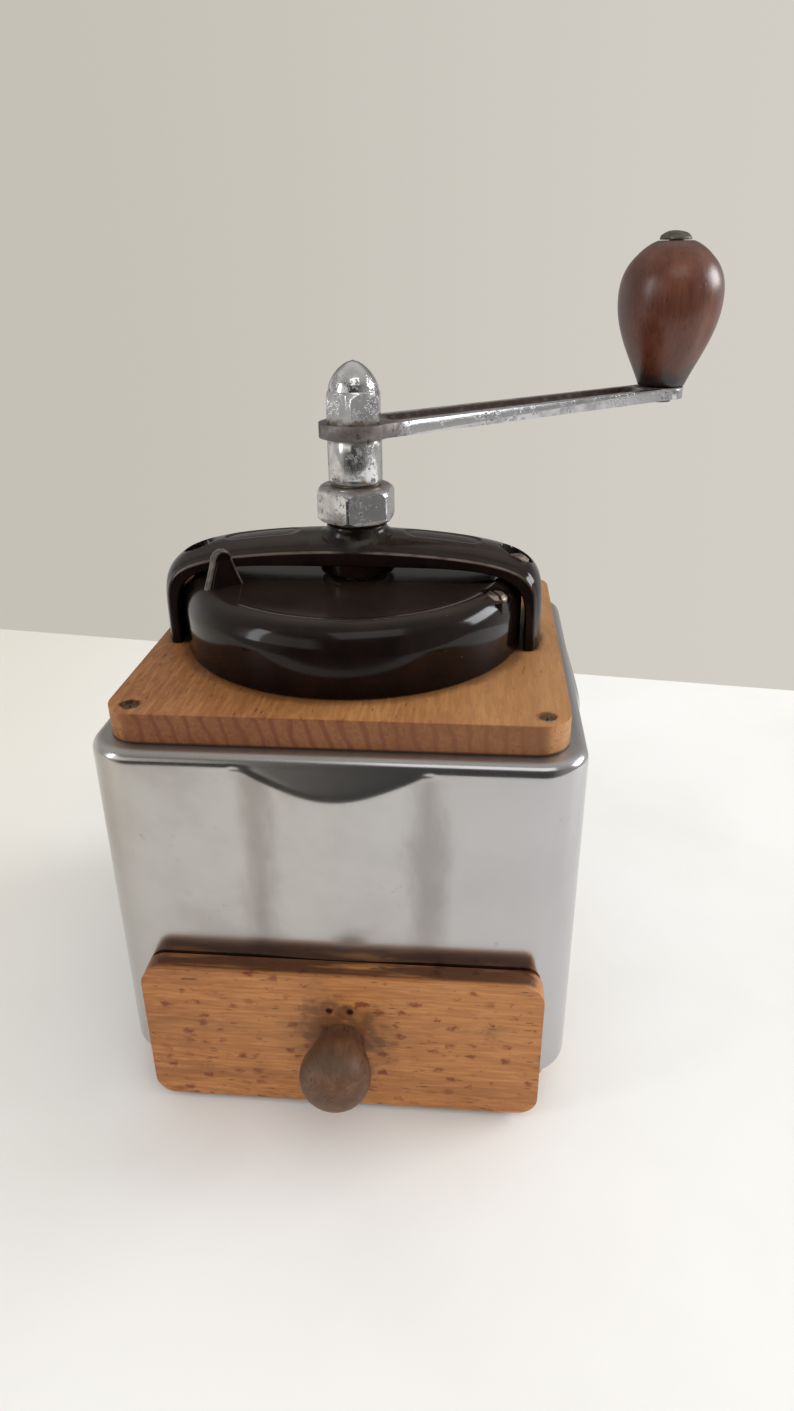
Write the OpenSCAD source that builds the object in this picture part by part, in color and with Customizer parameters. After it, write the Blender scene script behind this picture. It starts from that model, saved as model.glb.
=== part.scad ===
// Household coffee grinder mill: metal-sheathed box with wooden boards, a round
// plastic hopper under a bridge, a conical burr mill, a crank and a drawer.
// Millimetres. Origin on the crank axis at table level, +Z up, drawer to -Y.

/* [Body] */
// Outside width and depth of the square metal body
body_w = 125; // [120:0.5:130]
// Height of the metal body's top edge above the table
body_top = 108; // [108:1:112]
// Outside radius of the body's vertical corners
body_corner = 12; // [10:0.5:14]
// Thickness of the sheet metal
sheet = 0.9; // [0.7:0.1:1.2]
// How far the swelling in the middle of each wall stands out at the top
swell = 3; // [2:0.25:3.5]

/* [Boards] */
// Width and depth of the top and base boards
board_w = 115.6; // [114:0.2:116.6]
// Thickness of the top and base boards
board_t = 8; // [8:0.5:9]
// Distance of the board screws from the axis, each way
board_screw = 51.7; // [50.5:0.1:52]

/* [Drawer] */
// Width of the drawer front
front_w = 107; // [102:1:110]
// Thickness of the drawer front
front_t = 6.5; // [5:0.5:8]
// Height of the drawer front
front_h = 45; // [44:0.5:48]
// Depth of the drawer box behind the front
drawer_d = 109.5; // [90:0.5:109.5]

/* [Hopper] */
// Outside radius of the hopper
hop_r = 48.4; // [48:0.1:48.6]
// Height of the hopper above the top board
hop_h = 19.5; // [18.5:0.25:19.75]
// Width of the bridge over the hopper
bridge_w = 22; // [18:0.5:22]

/* [Mill] */
// Lowest radius of the inner burr
burr_r = 14.9; // [14:0.1:15]
// Number of grinding teeth
teeth = 9; // [6:1:10]

/* [Crank] */
// Distance from the crank axis to the grip axis
crank_r = 122; // [110:1:135]
// Direction the crank points at rest, from +X toward +Y
crank_a = 40; // [0:5:90]
// Widest radius of the grip
grip_r = 16.5; // [14:0.5:18]
// Height of the grip
grip_h = 43.3; // [38:0.5:48]

/* [Hidden] */
$fn = 96;
e = 0.01;
half = body_w / 2;
bh = board_w / 2;
zt = body_top;                  // underside of the top board
zw = body_top + board_t;        // top of the top board
zr = zw + hop_h;                // top of the hopper roof
hc = [-1.5, 1.8];               // hopper centre, a little off the crank axis
pivot = [39, -16.2];            // lid pivot
seam = -8.3;                    // plane between lid and fixed rear roof
z_boss = zw + 33.5;             // top of the bridge boss
z_nut = zw + 34.7;              // underside of the adjusting nut
z_was = z_nut + 9.4;            // underside of the thrust washer
z_slv = z_was + 0.65;           // underside of the sleeve
z_arm = z_slv + 12.05;          // underside of the crank arm
arm_t = 3.7;
z_top = z_arm + arm_t;          // top of the crank arm
post_in = 45.5;

// ---- shared shapes ----
module rsq(h, r) {              // square of half width h with round corners
  square([2*h, 2*(h - r)], center = true);
  square([2*(h - r), 2*h], center = true);
  for (x = [-1, 1], y = [-1, 1]) translate([x*(h - r), y*(h - r)]) circle(r);
}
module at4(d) for (x = [-1, 1], y = [-1, 1]) translate([x*d, y*d, 0]) children();
module slot_cut(w, d) translate([-10, -w/2, -d]) cube([20, w, d + 5]);

// ---- boards, posts and their screws ----
module board(z) translate([0, 0, z]) linear_extrude(board_t) rsq(bh, 9);

module base_board() color("burlywood") difference() {
  board(0);
  at4(board_screw) {
    translate([0, 0, -1]) cylinder(r = 1.5, h = board_t + 2);
    translate([0, 0, -1]) cylinder(r = 2.35, h = 2);
    translate([0, 0, 1 - e]) cylinder(r1 = 2.2, r2 = 1.5, h = 1.4);
  }
}
module wood_screw(len, slot_a) {     // countersunk, head up at z = 0
  difference() {
    union() {
      translate([0, 0, -1.3]) cylinder(r1 = 1.45, r2 = 2.1, h = 1.3);
      translate([0, 0, -len + 3]) cylinder(r = 1.35, h = len - 4);
      translate([0, 0, -len]) cylinder(r1 = 0.3, r2 = 1.35, h = 3);
    }
    rotate(slot_a) slot_cut(0.55, 0.5);
  }
}
module base_screws() color("silver")
  for (i = [0:3]) rotate(90*i) translate([board_screw, board_screw, 0.95])
    mirror([0, 0, 1]) wood_screw(26, 20 + 35*i);
module corner_posts() color("tan") difference() {
  at4(0) intersection() {
    linear_extrude(zt) rsq(half - sheet - 2.2, body_corner - sheet - 1);
    translate([0, 0, board_t + sheet + 0.05]) linear_extrude(zt - board_t - 2*sheet - 0.1)
      at4(0) for (x = [-1, 1], y = [-1, 1]) translate([x*(post_in + 10), y*(post_in + 10)]) square(20, center = true);
  }
  for (z = [board_t, zt - 26]) at4(board_screw) translate([0, 0, z - 1]) cylinder(r = 1.4, h = 28);
}

// ---- metal body ----
module swelling(h, r) {           // four upright swellings, fading downward
  for (i = [0:3]) rotate(90*i) intersection() {
    translate([0, -h + r - swell, zt - 5]) rotate([atan((swell - 0.3)/56), 0, 0])
      translate([0, 0, -zt]) cylinder(r = r, h = 2*zt);
    translate([-27, -h - 8, board_t + 6]) cube([54, 12, zt - board_t - 10]);
    translate([0, -h + 1, zt - 2.5]) rotate([70, 0, 0]) translate([-30, -160, -2*zt]) cube([60, 200, 2*zt]);
  }
}
module rim_prism(h, rc, rf, z0, z1) {   // square prism with stepped round rims
  n = 4;
  hull() for (s = [0, 1], k = [0:n]) {
    a = 90*k/n;
    translate([0, 0, s ? z1 - rf*(1 - sin(a)) - e : z0 + rf*(1 - sin(a))])
      linear_extrude(e) rsq(h - rf*(1 - cos(a)), rc - rf*(1 - cos(a)), $fn = 40);
  }
}
module body_shell() color("silver") difference() {
  union() {
    rim_prism(half, body_corner, 3, board_t, zt);
    swelling(half, 82);
  }
  rim_prism(half - sheet, body_corner - sheet, 2.1, board_t + sheet, zt - sheet);
  swelling(half - sheet, 82 - sheet);
  // openings under the top board and over the base board
  translate([0, 0, board_t - 1]) linear_extrude(zt) rsq(47, 3);
  // drawer opening
  translate([-47, -half - 5, board_t - 1]) cube([94, 20.8, 36.5]);
  for (z = [board_t, zt - sheet]) at4(board_screw) translate([0, 0, z - 0.6]) cylinder(r = 1.7, h = 2);
}

// ---- top board ----
module top_board() color("burlywood") difference() {
  board(zt);
  translate([0, 0, zt - 1]) cylinder(r = 20, h = board_t + 2);
  at4(board_screw) {
    translate([0, 0, zt - 1]) cylinder(r = 1.5, h = board_t + 2);
    translate([0, 0, zw - 1]) cylinder(r = 2.35, h = 2);
    translate([0, 0, zw - 2.4 + e]) cylinder(r1 = 1.5, r2 = 2.2, h = 1.4);
  }
  at4(19.1) translate([0, 0, zt - 1]) cylinder(r = 2.1, h = board_t + 2);
  translate([pivot[0], pivot[1], zt + 0.4]) cylinder(r = 1.75, h = board_t);
  for (s = [-1, 1]) bridge_axis(s) translate([0, 0, -31]) cylinder(r = 1.35, h = 20);
}
module board_screws() color("dimgray")
  for (i = [0:3]) rotate(90*i) translate([board_screw, board_screw, zw - 0.95]) wood_screw(26, 15 + 50*i);

// ---- hopper and lid ----
function dome(i, n, r, dr, z, dz) = [r - dr + dr*cos(90*i/n), z - dz + dz*sin(90*i/n)];
module hop_shell(z0, z1, r, roof, wall) {   // revolved wall and roof
  n = 10;
  rotate_extrude() polygon(concat(
    [[r - wall, z0], [r, z0]],
    [for (i = [0:n]) dome(i, n, r, 6.2, z1, 8.2)],
    [[r - 7.3, z1 - 0.6], [0, z1 - 0.6], [0, z1 - roof]],
    [for (i = [n:-1:0]) dome(i, n, r - wall, 5.2, z1 - roof, 6)]));
}
module lid() color([0.16, 0.1, 0.09]) difference() {
  union() {
    intersection() {
      union() {
        translate([hc[0], hc[1], 0]) hop_shell(zw + 0.4, zr, hop_r, 3, 2.7);
        intersection() {
          translate([pivot[0], pivot[1], zw + 0.4]) cylinder(r = 5, h = hop_h - 2.4);
          translate([hc[0], hc[1], zw]) cylinder(r = hop_r - 0.4, h = hop_h);
        }
      }
      translate([-60, seam - 60, zw]) cube([120, 60, 40]);
    }
    // finger tab
    translate([-35.3, -15.6, zr - 1.2]) rotate([0, 0, 46.7]) rotate([90, 0, 0]) translate([0, 0, -1.1])
      linear_extrude(2.2) {
        polygon([[-6.4, 0], [6.4, 0], [3, 8.6], [-3, 8.6]]);
        translate([0, 8.2]) circle(3.1);
      }
  }
  translate([pivot[0], pivot[1], zw]) cylinder(r = 2.05, h = 30);
  translate([pivot[0], pivot[1], zr - 3]) cylinder(r = 3.8, h = 5);
}
module lid_screw() color("silver") translate([pivot[0], pivot[1], 0]) difference() {
  union() {
    translate([0, 0, zt + 0.5]) cylinder(r = 1.7, h = hop_h + board_t - 3.3);
    translate([0, 0, zr - 2.9]) cylinder(r = 3.2, h = 1.2);
    translate([0, 0, zr - 1.7]) cylinder(r1 = 3.2, r2 = 2.2, h = 1);
  }
  translate([0, 0, zr - 0.7]) rotate(115) slot_cut(0.8, 1);
}
module hopper() color([0.16, 0.1, 0.09]) difference() {
  union() {
    intersection() {                      // fixed rear wall and roof
      translate([hc[0], hc[1], 0]) hop_shell(zw, zr, hop_r, 3, 3.8);
      translate([-60, seam + 0.4, zw]) cube([120, 70, 40]);
      difference() {
        translate([0, 0, zw]) cylinder(r = 60, h = 40);
        translate([pivot[0], pivot[1], zw - 1]) cylinder(r = 10.9, h = 42);
      }
    }
    difference() {                        // bowl that holds the beans
      translate([hc[0], hc[1], zw]) cylinder(r = hop_r - 3.5, h = 13.5);
      translate([pivot[0], pivot[1], zw - 1]) cylinder(r = 10.9, h = 20);
      difference() {
        translate([hc[0], hc[1], zw + 2.5]) cylinder(r1 = 20.5, r2 = hop_r - 5.6, h = 11.1);
        translate([pivot[0], pivot[1], zw]) cylinder(r = 12.9, h = 20);
      }
    }
    // bosses for the bridge screws, which pass through the hopper into the board
    for (s = [-1, 1]) intersection() {
      bridge_axis(s) translate([0, 0, zw - bridge_z + e]) cylinder(r = 3.4, h = hop_h - 1.9);
      translate([hc[0], hc[1], zw]) cylinder(r = hop_r - 2.4, h = hop_h);
    }
  }
  for (s = [-1, 1]) bridge_axis(s) translate([0, 0, -30]) cylinder(r = 1.5, h = 32);
  translate([0, 0, zw - 1]) cylinder(r = 20, h = 6);
  translate([0, 0, zw + 15]) cylinder(r = 6, h = 10);
  at4(19.1) {
    translate([0, 0, zw - 1]) cylinder(r = 2.1, h = 9);
    translate([0, 0, zw + 3]) cylinder(r = 4.1, h = 9);
  }
}

// ---- bridge ----
bc = -1.5;                      // the bridge stands over the hopper, off the crank axis
ba = hop_r + 5.6; bb = 31.4;    // half width and height of the arch's crown line
ea = ba - 2.5; eb = 27.6;       // the same for its lower edge lines
ia = hop_r + 0.6; ib = 23.6;    // inner arch
bridge_z = zw + 23.5;           // seat of the bridge screws' heads, plus 1.6
function sp(v, p) = sign(v) * pow(abs(v), p);
function arch(a, w, h, k) = let (t = sp(cos(a), 0.8))
  [w*t, (h - k*t*t)*pow(max(0, 1 - pow(abs(t), 8)), 0.143)];
function arch_i(a) = [ia*sp(cos(a), 0.42), ib*pow(abs(sin(a)), 0.36)];
function sect(a, m) = let (o = arch(a, ba, bb, 6), g = arch(a, ea, eb, 4.5), i = arch_i(a))
  concat([for (k = [0:m]) let (u = 2*k/m - 1, c = o + (g - o)*pow(abs(u), 2.6)) [bc + c[0], u*bridge_w/2, zw + c[1]]],
         [[bc + i[0], bridge_w/2, zw + i[1]], [bc + i[0], -bridge_w/2, zw + i[1]]]);
module bridge_arch() {
  n = 36; m = 8; w = m + 3;
  pts = [for (j = [0:n]) each sect(180*j/n, m)];
  faces = concat(
    [for (j = [0:n - 1], k = [0:w - 1]) let (a = j*w + k, b = j*w + (k + 1)%w) [b, a, a + w]],
    [for (j = [0:n - 1], k = [0:w - 1]) let (a = j*w + k, b = j*w + (k + 1)%w) [b + w, b, a + w]],
    [[for (k = [0:w - 1]) k]], [[for (k = [w - 1:-1:0]) n*w + k]]);
  polyhedron(pts, faces);
}
module bridge_axis(s) translate([s > 0 ? 44.8 : -45.5, 0, bridge_z]) children();
module bridge() color([0.14, 0.09, 0.08]) difference() {
  union() {
    bridge_arch();
    translate([0, 0, zw + 20.2]) cylinder(r = 10.6, h = 6);
    translate([0, 0, zw + 25]) cylinder(r = 8.4, h = z_boss - zw - 25);
  }
  translate([0, 0, zw + 19]) cylinder(r = 6.55, h = 20);
  translate([0, 0, zw + 19]) cylinder(r = 8.1, h = 5.4);
  // shallow plain panels either side of the boss
  for (s = [-1, 1]) translate([bc + s*25.5, 0, zw + 29]) rotate([0, s*6.5, 0])
    linear_extrude(8) {
      square([14, 7], center = true);
      for (x = [-7, 7]) translate([x, 0]) circle(3.5);
    }
  for (s = [-1, 1]) bridge_axis(s) {
    translate([0, 0, -30]) cylinder(r = 1.35, h = 32);
    translate([0, 0, -1.6]) cylinder(r = 4.1, h = 10);
  }
}
module bridge_screws() color("silver") for (s = [-1, 1]) bridge_axis(s) difference() {
  union() {
    translate([0, 0, -30]) cylinder(r = 1.3, h = 29);
    translate([0, 0, -1.55]) cylinder(r = 3.5, h = 1.4);
    translate([0, 0, -0.15]) cylinder(r1 = 3.5, r2 = 2.2, h = 1.1);
  }
  translate([0, 0, 0.95]) rotate(s*35) slot_cut(0.8, 1.2);
}
module bearing_bush() color("goldenrod") difference() {
  union() {
    translate([0, 0, zw + 22.4]) cylinder(r = 6.5, h = 18.2);
    translate([0, 0, zw + 22.4]) cylinder(r = 8, h = 1.9);
  }
  translate([0, 0, zw + 22]) cylinder(r = 5.05, h = 20);
}

// ---- burr mill ----
module burr_housing() color("dimgray") difference() {
  union() {
    translate([0, 0, zt - 28]) cylinder(r = 25, h = 28);
    translate([0, 0, zt - 4]) cylinder(r = 34, h = 4);
  }
  translate([0, 0, zt - 5]) cylinder(r = 18, h = 6);
  translate([0, 0, zt - 29]) cylinder(r = 19.02, h = 25);
  at4(19.1) translate([0, 0, zt - 12]) cylinder(r = 1.85, h = 13);
  for (s = [-1, 1]) translate([s*22, 0, zt - 29]) cylinder(r = 1.55, h = 12);
}
module housing_screws() color("silver") at4(19.1) difference() {
  union() {
    translate([0, 0, zt - 11]) cylinder(r = 1.8, h = 11 + board_t + 3.2);
    translate([0, 0, zw + 3.05]) cylinder(r = 3.6, h = 1.5);
    translate([0, 0, zw + 4.55]) cylinder(r1 = 3.6, r2 = 2.4, h = 0.9);
  }
  translate([0, 0, zw + 5.45]) rotate(40) slot_cut(0.9, 1.2);
}
module outer_burr() color("gray") difference() {
  translate([0, 0, zt - 27.9]) cylinder(r = 19, h = 23.8);
  translate([0, 0, zt - 27.9 - e]) cylinder(r1 = 15.5, r2 = 12, h = 23.8 + 2*e);
  for (i = [0:teeth - 1]) rotate(360*i/teeth) translate([12.6, 0, zt - 17]) rotate([24, -8, 0])
    cylinder(r = 1.5, h = 44, center = true);
}
module inner_burr() color("gray") difference() {
  union() {
    translate([0, 0, zt - 26.8]) cylinder(r1 = burr_r, r2 = burr_r - 5.4, h = 20);
    translate([0, 0, zt - 6.8 - e]) cylinder(r = 8, h = 5);
  }
  translate([0, 0, zt - 28]) cylinder(r = 5.03, h = 30);
  for (i = [0:teeth - 1]) rotate(360*(i + 0.5)/teeth) translate([burr_r - 1.4, 0, zt - 17]) rotate([-28, -16, 0])
    cylinder(r = 1.7, h = 44, center = true);
  rotate(20) translate([0, 0, zt - 4.3]) rotate([0, 90, 0]) cylinder(r = 1.22, h = 20, center = true);
}
module burr_pin() color("silver") rotate(20) translate([0, 0, zt - 4.3]) rotate([0, 90, 0])
  cylinder(r = 1.2, h = 15.6, center = true);
module lower_bearing() color("dimgray") difference() {
  union() {
    translate([-25, -6, zt - 32.2]) cube([50, 12, 4]);
    translate([0, 0, zt - 35]) cylinder(r = 8, h = 6.8);
  }
  translate([0, 0, zt - 36]) cylinder(r = 4.05, h = 10);
  for (s = [-1, 1]) translate([s*22, 0, zt - 34]) cylinder(r = 1.65, h = 8);
}
module bearing_screws() color("silver") for (s = [-1, 1]) translate([s*22, 0, 0]) difference() {
  union() {
    translate([0, 0, zt - 32.3]) cylinder(r = 1.5, h = 13);
    translate([0, 0, zt - 34.2]) cylinder(r = 2.8, h = 2);
  }
  translate([0, 0, zt - 34.2]) mirror([0, 0, 1]) rotate(30) slot_cut(0.7, 0.9);
}

// ---- drawer ----
fy = -half - 0.6;               // back face of the drawer front
fx = 1;                         // the front sits slightly to the right
module round_front(h) {         // drawer front outline in its own plane
  r = 5.5;
  square([front_w - 2*r, h], center = true);
  square([front_w, h - 2*r], center = true);
  for (x = [-1, 1], z = [-1, 1]) translate([x*(front_w/2 - r), z*(h/2 - r)]) circle(r);
}
module drawer_front() color("burlywood") difference() {
  translate([fx, fy, 2 + front_h/2]) rotate([90, 0, 0]) linear_extrude(front_t) round_front(front_h);
  translate([fx, fy + 1, 25]) rotate([90, 0, 0]) cylinder(r = 1.75, h = front_t + 2);
  // two old brad holes above the knob
  for (x = [-3, 2.6]) translate([fx + x, fy - front_t + 2, 35.6]) rotate([90, 0, 0]) cylinder(r = 0.6, h = 3);
}
module drawer_side(s) translate([s > 0 ? 40 : -45, fy, 11.4]) cube([5, drawer_d, 30.6]);
module drawer_side_left() color("tan") drawer_side(-1);
module drawer_side_right() color("tan") drawer_side(1);
module drawer_back() color("tan") translate([-40, fy + drawer_d - 5, 11.4]) cube([80, 5, 30.6]);
module drawer_bottom() color("tan") translate([-45, fy, 8.4]) cube([90, drawer_d, 3]);
module drawer_knob() color("sienna") translate([fx, fy - front_t, 25]) rotate([90, 0, 0]) difference() {
  n = 28;
  rotate_extrude() polygon(concat([[0, 0]],
    [for (i = [0:n]) let (y = 20*i/n)
      [y < 11.7 ? 6.3 + 3*pow(sin(90*y/11.7), 2) : 9.3*sqrt(max(0, 1 - pow((y - 11.7)/8.3, 2.2))), y]],
    [[0, 20]]));
  translate([0, 0, -1]) cylinder(r = 1.75, h = 13);
}
module knob_screw() color("silver") translate([fx, fy + 2.3, 25]) rotate([90, 0, 0]) difference() {
  union() {
    cylinder(r1 = 2.6, r2 = 3.6, h = 1);
    translate([0, 0, 1]) cylinder(r = 3.6, h = 1.25);
    cylinder(r = 1.7, h = 2.3 + front_t + 11);
  }
  mirror([0, 0, 1]) rotate(70) slot_cut(0.8, 1.1);
}

// ---- adjusting nut, shaft and crank ----
module thrust_washer() color("goldenrod") translate([0, 0, z_was]) difference() {
  cylinder(r = 6.9, h = 0.6);
  translate([0, 0, -1]) cylinder(r = 5.1, h = 3);
}
module adjusting_nut() color("silver") difference() {
  intersection() {
    translate([0, 0, z_nut]) rotate(24.8) cylinder(r = 19.6/sqrt(3), h = 9.35, $fn = 6);
    rotate_extrude() polygon(concat([[0, z_nut], [10.2, z_nut], [11.1, z_nut + 0.8]],
      [for (i = [0:8]) [8 + 3.1*cos(90*i/8), z_nut + 6.6 + 2.75*sin(90*i/8)]], [[0, z_nut + 9.35]]));
  }
  translate([0, 0, z_nut - 1]) cylinder(r = 6.57, h = 8.1);
  translate([0, 0, z_nut]) cylinder(r = 5.3, h = 12);
}
module shaft() color("gray") difference() {
  union() {
    translate([0, 0, zt - 35.5]) cylinder(r = 4, h = 9);
    translate([0, 0, zt - 26.8]) cylinder(r = 5, h = z_arm - 0.2 - zt + 26.8);
    translate([0, 0, z_arm - 0.2 - e]) rotate(crank_a) translate([-3.5, -3.5, 0]) cube([7, 7, 3.6]);
    translate([0, 0, z_arm]) cylinder(r = 3.45, h = 12.6);
  }
  rotate(20) translate([0, 0, zt - 4.3]) rotate([0, 90, 0]) cylinder(r = 1.22, h = 20, center = true);
}
module sleeve() color("silver") translate([0, 0, z_slv]) difference() {
  cylinder(r = 7.4, h = 12);
  translate([0, 0, -1]) cylinder(r = 5.04, h = 14);
}
module crank_arm() color("silver") rotate(crank_a) difference() {
  translate([0, 0, z_arm]) linear_extrude(arm_t) {
    circle(9.6);
    polygon([[2, -8.3], [crank_r - 1, -7], [crank_r - 1, 7], [2, 8.3]]);
    translate([crank_r, 0]) circle(7.3);
  }
  translate([0, 0, z_arm - 1]) linear_extrude(arm_t + 2) square(7.1, center = true);
  translate([0, 0, z_top - 1.1]) linear_extrude(3) {
    translate([13.5, -4]) square([crank_r - 27.5, 8]);
    for (x = [13.5, crank_r - 14]) translate([x, 0]) circle(4);
  }
  translate([crank_r, 0, z_arm - 1]) cylinder(r = 2.3, h = 8);
}
module acorn_nut() color("silver") translate([0, 0, z_top]) difference() {
  intersection() {
    rotate(32) cylinder(r = 13.8/sqrt(3), h = 16, $fn = 6);
    rotate_extrude() polygon(concat([[0, 0], [7.4, 0], [8.15, 0.5], [8.15, 6.2]],
      [for (i = [0:14]) let (t = i/14) [6.7*pow(max(0, 1 - pow(t, 1.7)), 0.65), 8.2 + 7.4*t]]));
  }
  translate([0, 0, -1]) cylinder(r = 3.5, h = 10.4);
}
module grip_pin() color("dimgray") rotate(crank_a) translate([crank_r, 0, 0]) {
  translate([0, 0, z_arm - 1.2]) cylinder(r = 3.6, h = 1.2);
  translate([0, 0, z_arm - 0.2]) cylinder(r = 2.25, h = arm_t + grip_h + 1);
  translate([0, 0, z_top + grip_h + 0.4]) cylinder(r1 = 4.8, r2 = 4.3, h = 0.9);
  translate([0, 0, z_top + grip_h + 1.3]) cylinder(r1 = 4.3, r2 = 2.4, h = 0.9);
}
function pear(z) = z < 0.62*grip_h
  ? 7.5 + (grip_r - 7.5)*pow(sin(90*z/(0.62*grip_h)), 1.15)
  : grip_r*sqrt(max(0, 1 - pow((z - 0.62*grip_h)/(0.381*grip_h), 2.3)));
module grip() color("sienna") rotate(crank_a) translate([crank_r, 0, z_top + 0.3]) difference() {
  n = 30;
  rotate_extrude() polygon(concat([[0, 0]], [for (i = [0:n]) [max(4.9, pear(grip_h*i/n)), grip_h*i/n]], [[0, grip_h]]));
  translate([0, 0, -1]) cylinder(r = 2.35, h = grip_h + 2);
}

base_board();
base_screws();
corner_posts();
body_shell();
top_board();
board_screws();
hopper();
lid();
lid_screw();
bridge();
bridge_screws();
bearing_bush();
burr_housing();
housing_screws();
outer_burr();
lower_bearing();
bearing_screws();
drawer_front();
drawer_side_left();
drawer_side_right();
drawer_back();
drawer_bottom();
drawer_knob();
knob_screw();
thrust_washer();
adjusting_nut();
shaft();
sleeve();
crank_arm();
acorn_nut();
inner_burr();
burr_pin();
grip_pin();
grip();
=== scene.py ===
import math
import bpy
import bmesh
import numpy as np
from mathutils import Vector, Matrix


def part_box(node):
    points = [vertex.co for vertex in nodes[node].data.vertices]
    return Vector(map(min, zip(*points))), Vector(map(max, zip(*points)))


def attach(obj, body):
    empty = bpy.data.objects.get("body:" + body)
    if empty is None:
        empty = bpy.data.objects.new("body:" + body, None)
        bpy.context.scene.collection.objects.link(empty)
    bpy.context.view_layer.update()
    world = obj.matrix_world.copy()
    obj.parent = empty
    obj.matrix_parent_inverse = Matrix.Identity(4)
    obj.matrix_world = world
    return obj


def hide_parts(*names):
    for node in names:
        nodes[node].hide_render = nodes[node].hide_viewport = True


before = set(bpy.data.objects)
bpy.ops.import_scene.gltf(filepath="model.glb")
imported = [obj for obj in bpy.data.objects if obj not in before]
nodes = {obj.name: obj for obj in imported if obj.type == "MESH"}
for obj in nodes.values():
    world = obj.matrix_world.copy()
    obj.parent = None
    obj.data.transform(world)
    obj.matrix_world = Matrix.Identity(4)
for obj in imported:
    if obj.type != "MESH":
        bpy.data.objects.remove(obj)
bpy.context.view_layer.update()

S = 0.001                                   # shapes below are in millimetres


def box_mm(node):
    lo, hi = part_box(node)
    return np.array(lo) / S, np.array(hi) / S


ZT = float(box_mm("top_board")[0][2])       # underside of the top board
ZW = float(box_mm("top_board")[1][2])       # top of the top board
BT = float(box_mm("base_board")[1][2])      # top of the base board
ZARM = float(box_mm("crank_arm")[0][2])
ZTOP = float(box_mm("crank_arm")[1][2])
CRANK_A, CRANK_R = math.radians(40), 122.0
ZR = ZW + 19.5                              # top of the hopper's roof

# ---------------------------------------------------------------- materials


class Mat:
    """Small helper that builds one node material."""

    def __init__(self, name):
        self.m = bpy.data.materials.new(name)
        self.m.use_nodes = True
        self.t = self.m.node_tree
        self.t.nodes.clear()
        self.out = self.t.nodes.new("ShaderNodeOutputMaterial")
        self.co = self.t.nodes.new("ShaderNodeTexCoord").outputs["Object"]

    def node(self, kind, ins, **props):
        n = self.t.nodes.new(kind)
        for k, v in props.items():
            setattr(n, k, v)
        for k, v in ins.items():
            if isinstance(v, bpy.types.NodeSocket):
                self.t.links.new(v, n.inputs[k])
            else:
                n.inputs[k].default_value = v
        return n

    def map(self, scale=(1, 1, 1), rot=(0, 0, 0), loc=(0, 0, 0), vec=None):
        return self.node("ShaderNodeMapping", {"Vector": vec or self.co, "Scale": scale, "Rotation": rot, "Location": loc}).outputs[0]

    def noise(self, vec, scale, detail=3.0, rough=0.5, dist=0.0):
        return self.node("ShaderNodeTexNoise", {"Vector": vec, "Scale": scale, "Detail": detail, "Roughness": rough, "Distortion": dist}).outputs[0]

    def voro(self, vec, scale, rnd=1.0, out="Distance", feature="F1"):
        return self.node("ShaderNodeTexVoronoi", {"Vector": vec, "Scale": scale, "Randomness": rnd}, feature=feature).outputs[out]

    def ramp(self, fac, stops, mode="LINEAR"):
        n = self.node("ShaderNodeValToRGB", {"Fac": fac})
        n.color_ramp.interpolation = mode
        e = n.color_ramp.elements
        while len(e) < len(stops):
            e.new(0.5)
        for k, (p, c) in enumerate(stops):
            e[k].position = p
            e[k].color = (c, c, c, 1) if isinstance(c, (int, float)) else (*c, 1)
        return n.outputs[0]

    def mix(self, fac, a, b, mode="MIX"):
        n = self.t.nodes.new("ShaderNodeMix")
        n.data_type = "RGBA"
        n.blend_type = mode
        for sock, v in ((n.inputs[0], fac), (n.inputs[6], a), (n.inputs[7], b)):
            if isinstance(v, bpy.types.NodeSocket):
                self.t.links.new(v, sock)
            else:
                sock.default_value = v if sock is n.inputs[0] else (*v, 1)
        return n.outputs[2]

    def math(self, op, a, b=0.0, clamp=False):
        n = self.t.nodes.new("ShaderNodeMath")
        n.operation = op
        n.use_clamp = clamp
        for sock, v in ((n.inputs[0], a), (n.inputs[1], b)):
            if isinstance(v, bpy.types.NodeSocket):
                self.t.links.new(v, sock)
            else:
                sock.default_value = v
        return n.outputs[0]

    def xyz(self, vec=None):
        return self.node("ShaderNodeSeparateXYZ", {"Vector": vec or self.co}).outputs

    def dist(self, point):
        """Distance from a point in metres."""
        n = self.t.nodes.new("ShaderNodeVectorMath")
        n.operation = "DISTANCE"
        self.t.links.new(self.co, n.inputs[0])
        n.inputs[1].default_value = point
        return n.outputs["Value"]

    def smooth(self, v, lo, hi, out_lo=0.0, out_hi=1.0):
        return self.node("ShaderNodeMapRange", {"Value": v, "From Min": lo, "From Max": hi, "To Min": out_lo, "To Max": out_hi}, interpolation_type="SMOOTHSTEP").outputs[0]

    def bump(self, height, strength, distance, normal=None):
        ins = {"Height": height, "Strength": strength, "Distance": distance}
        if normal is not None:
            ins["Normal"] = normal
        return self.node("ShaderNodeBump", ins).outputs[0]

    def bsdf(self, **ins):
        names = {"color": "Base Color", "rough": "Roughness", "metal": "Metallic", "normal": "Normal", "spec": "Specular IOR Level",
                 "coat": "Coat Weight", "coat_rough": "Coat Roughness", "coat_normal": "Coat Normal", "ior": "IOR", "aniso": "Anisotropic",
                 "sheen": "Sheen Weight"}
        vals = {}
        for k, v in ins.items():
            vals[names[k]] = (*v, 1) if k == "color" and not isinstance(v, bpy.types.NodeSocket) else v
        n = self.node("ShaderNodeBsdfPrincipled", vals)
        self.t.links.new(n.outputs[0], self.out.inputs[0])
        return self.m


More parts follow.
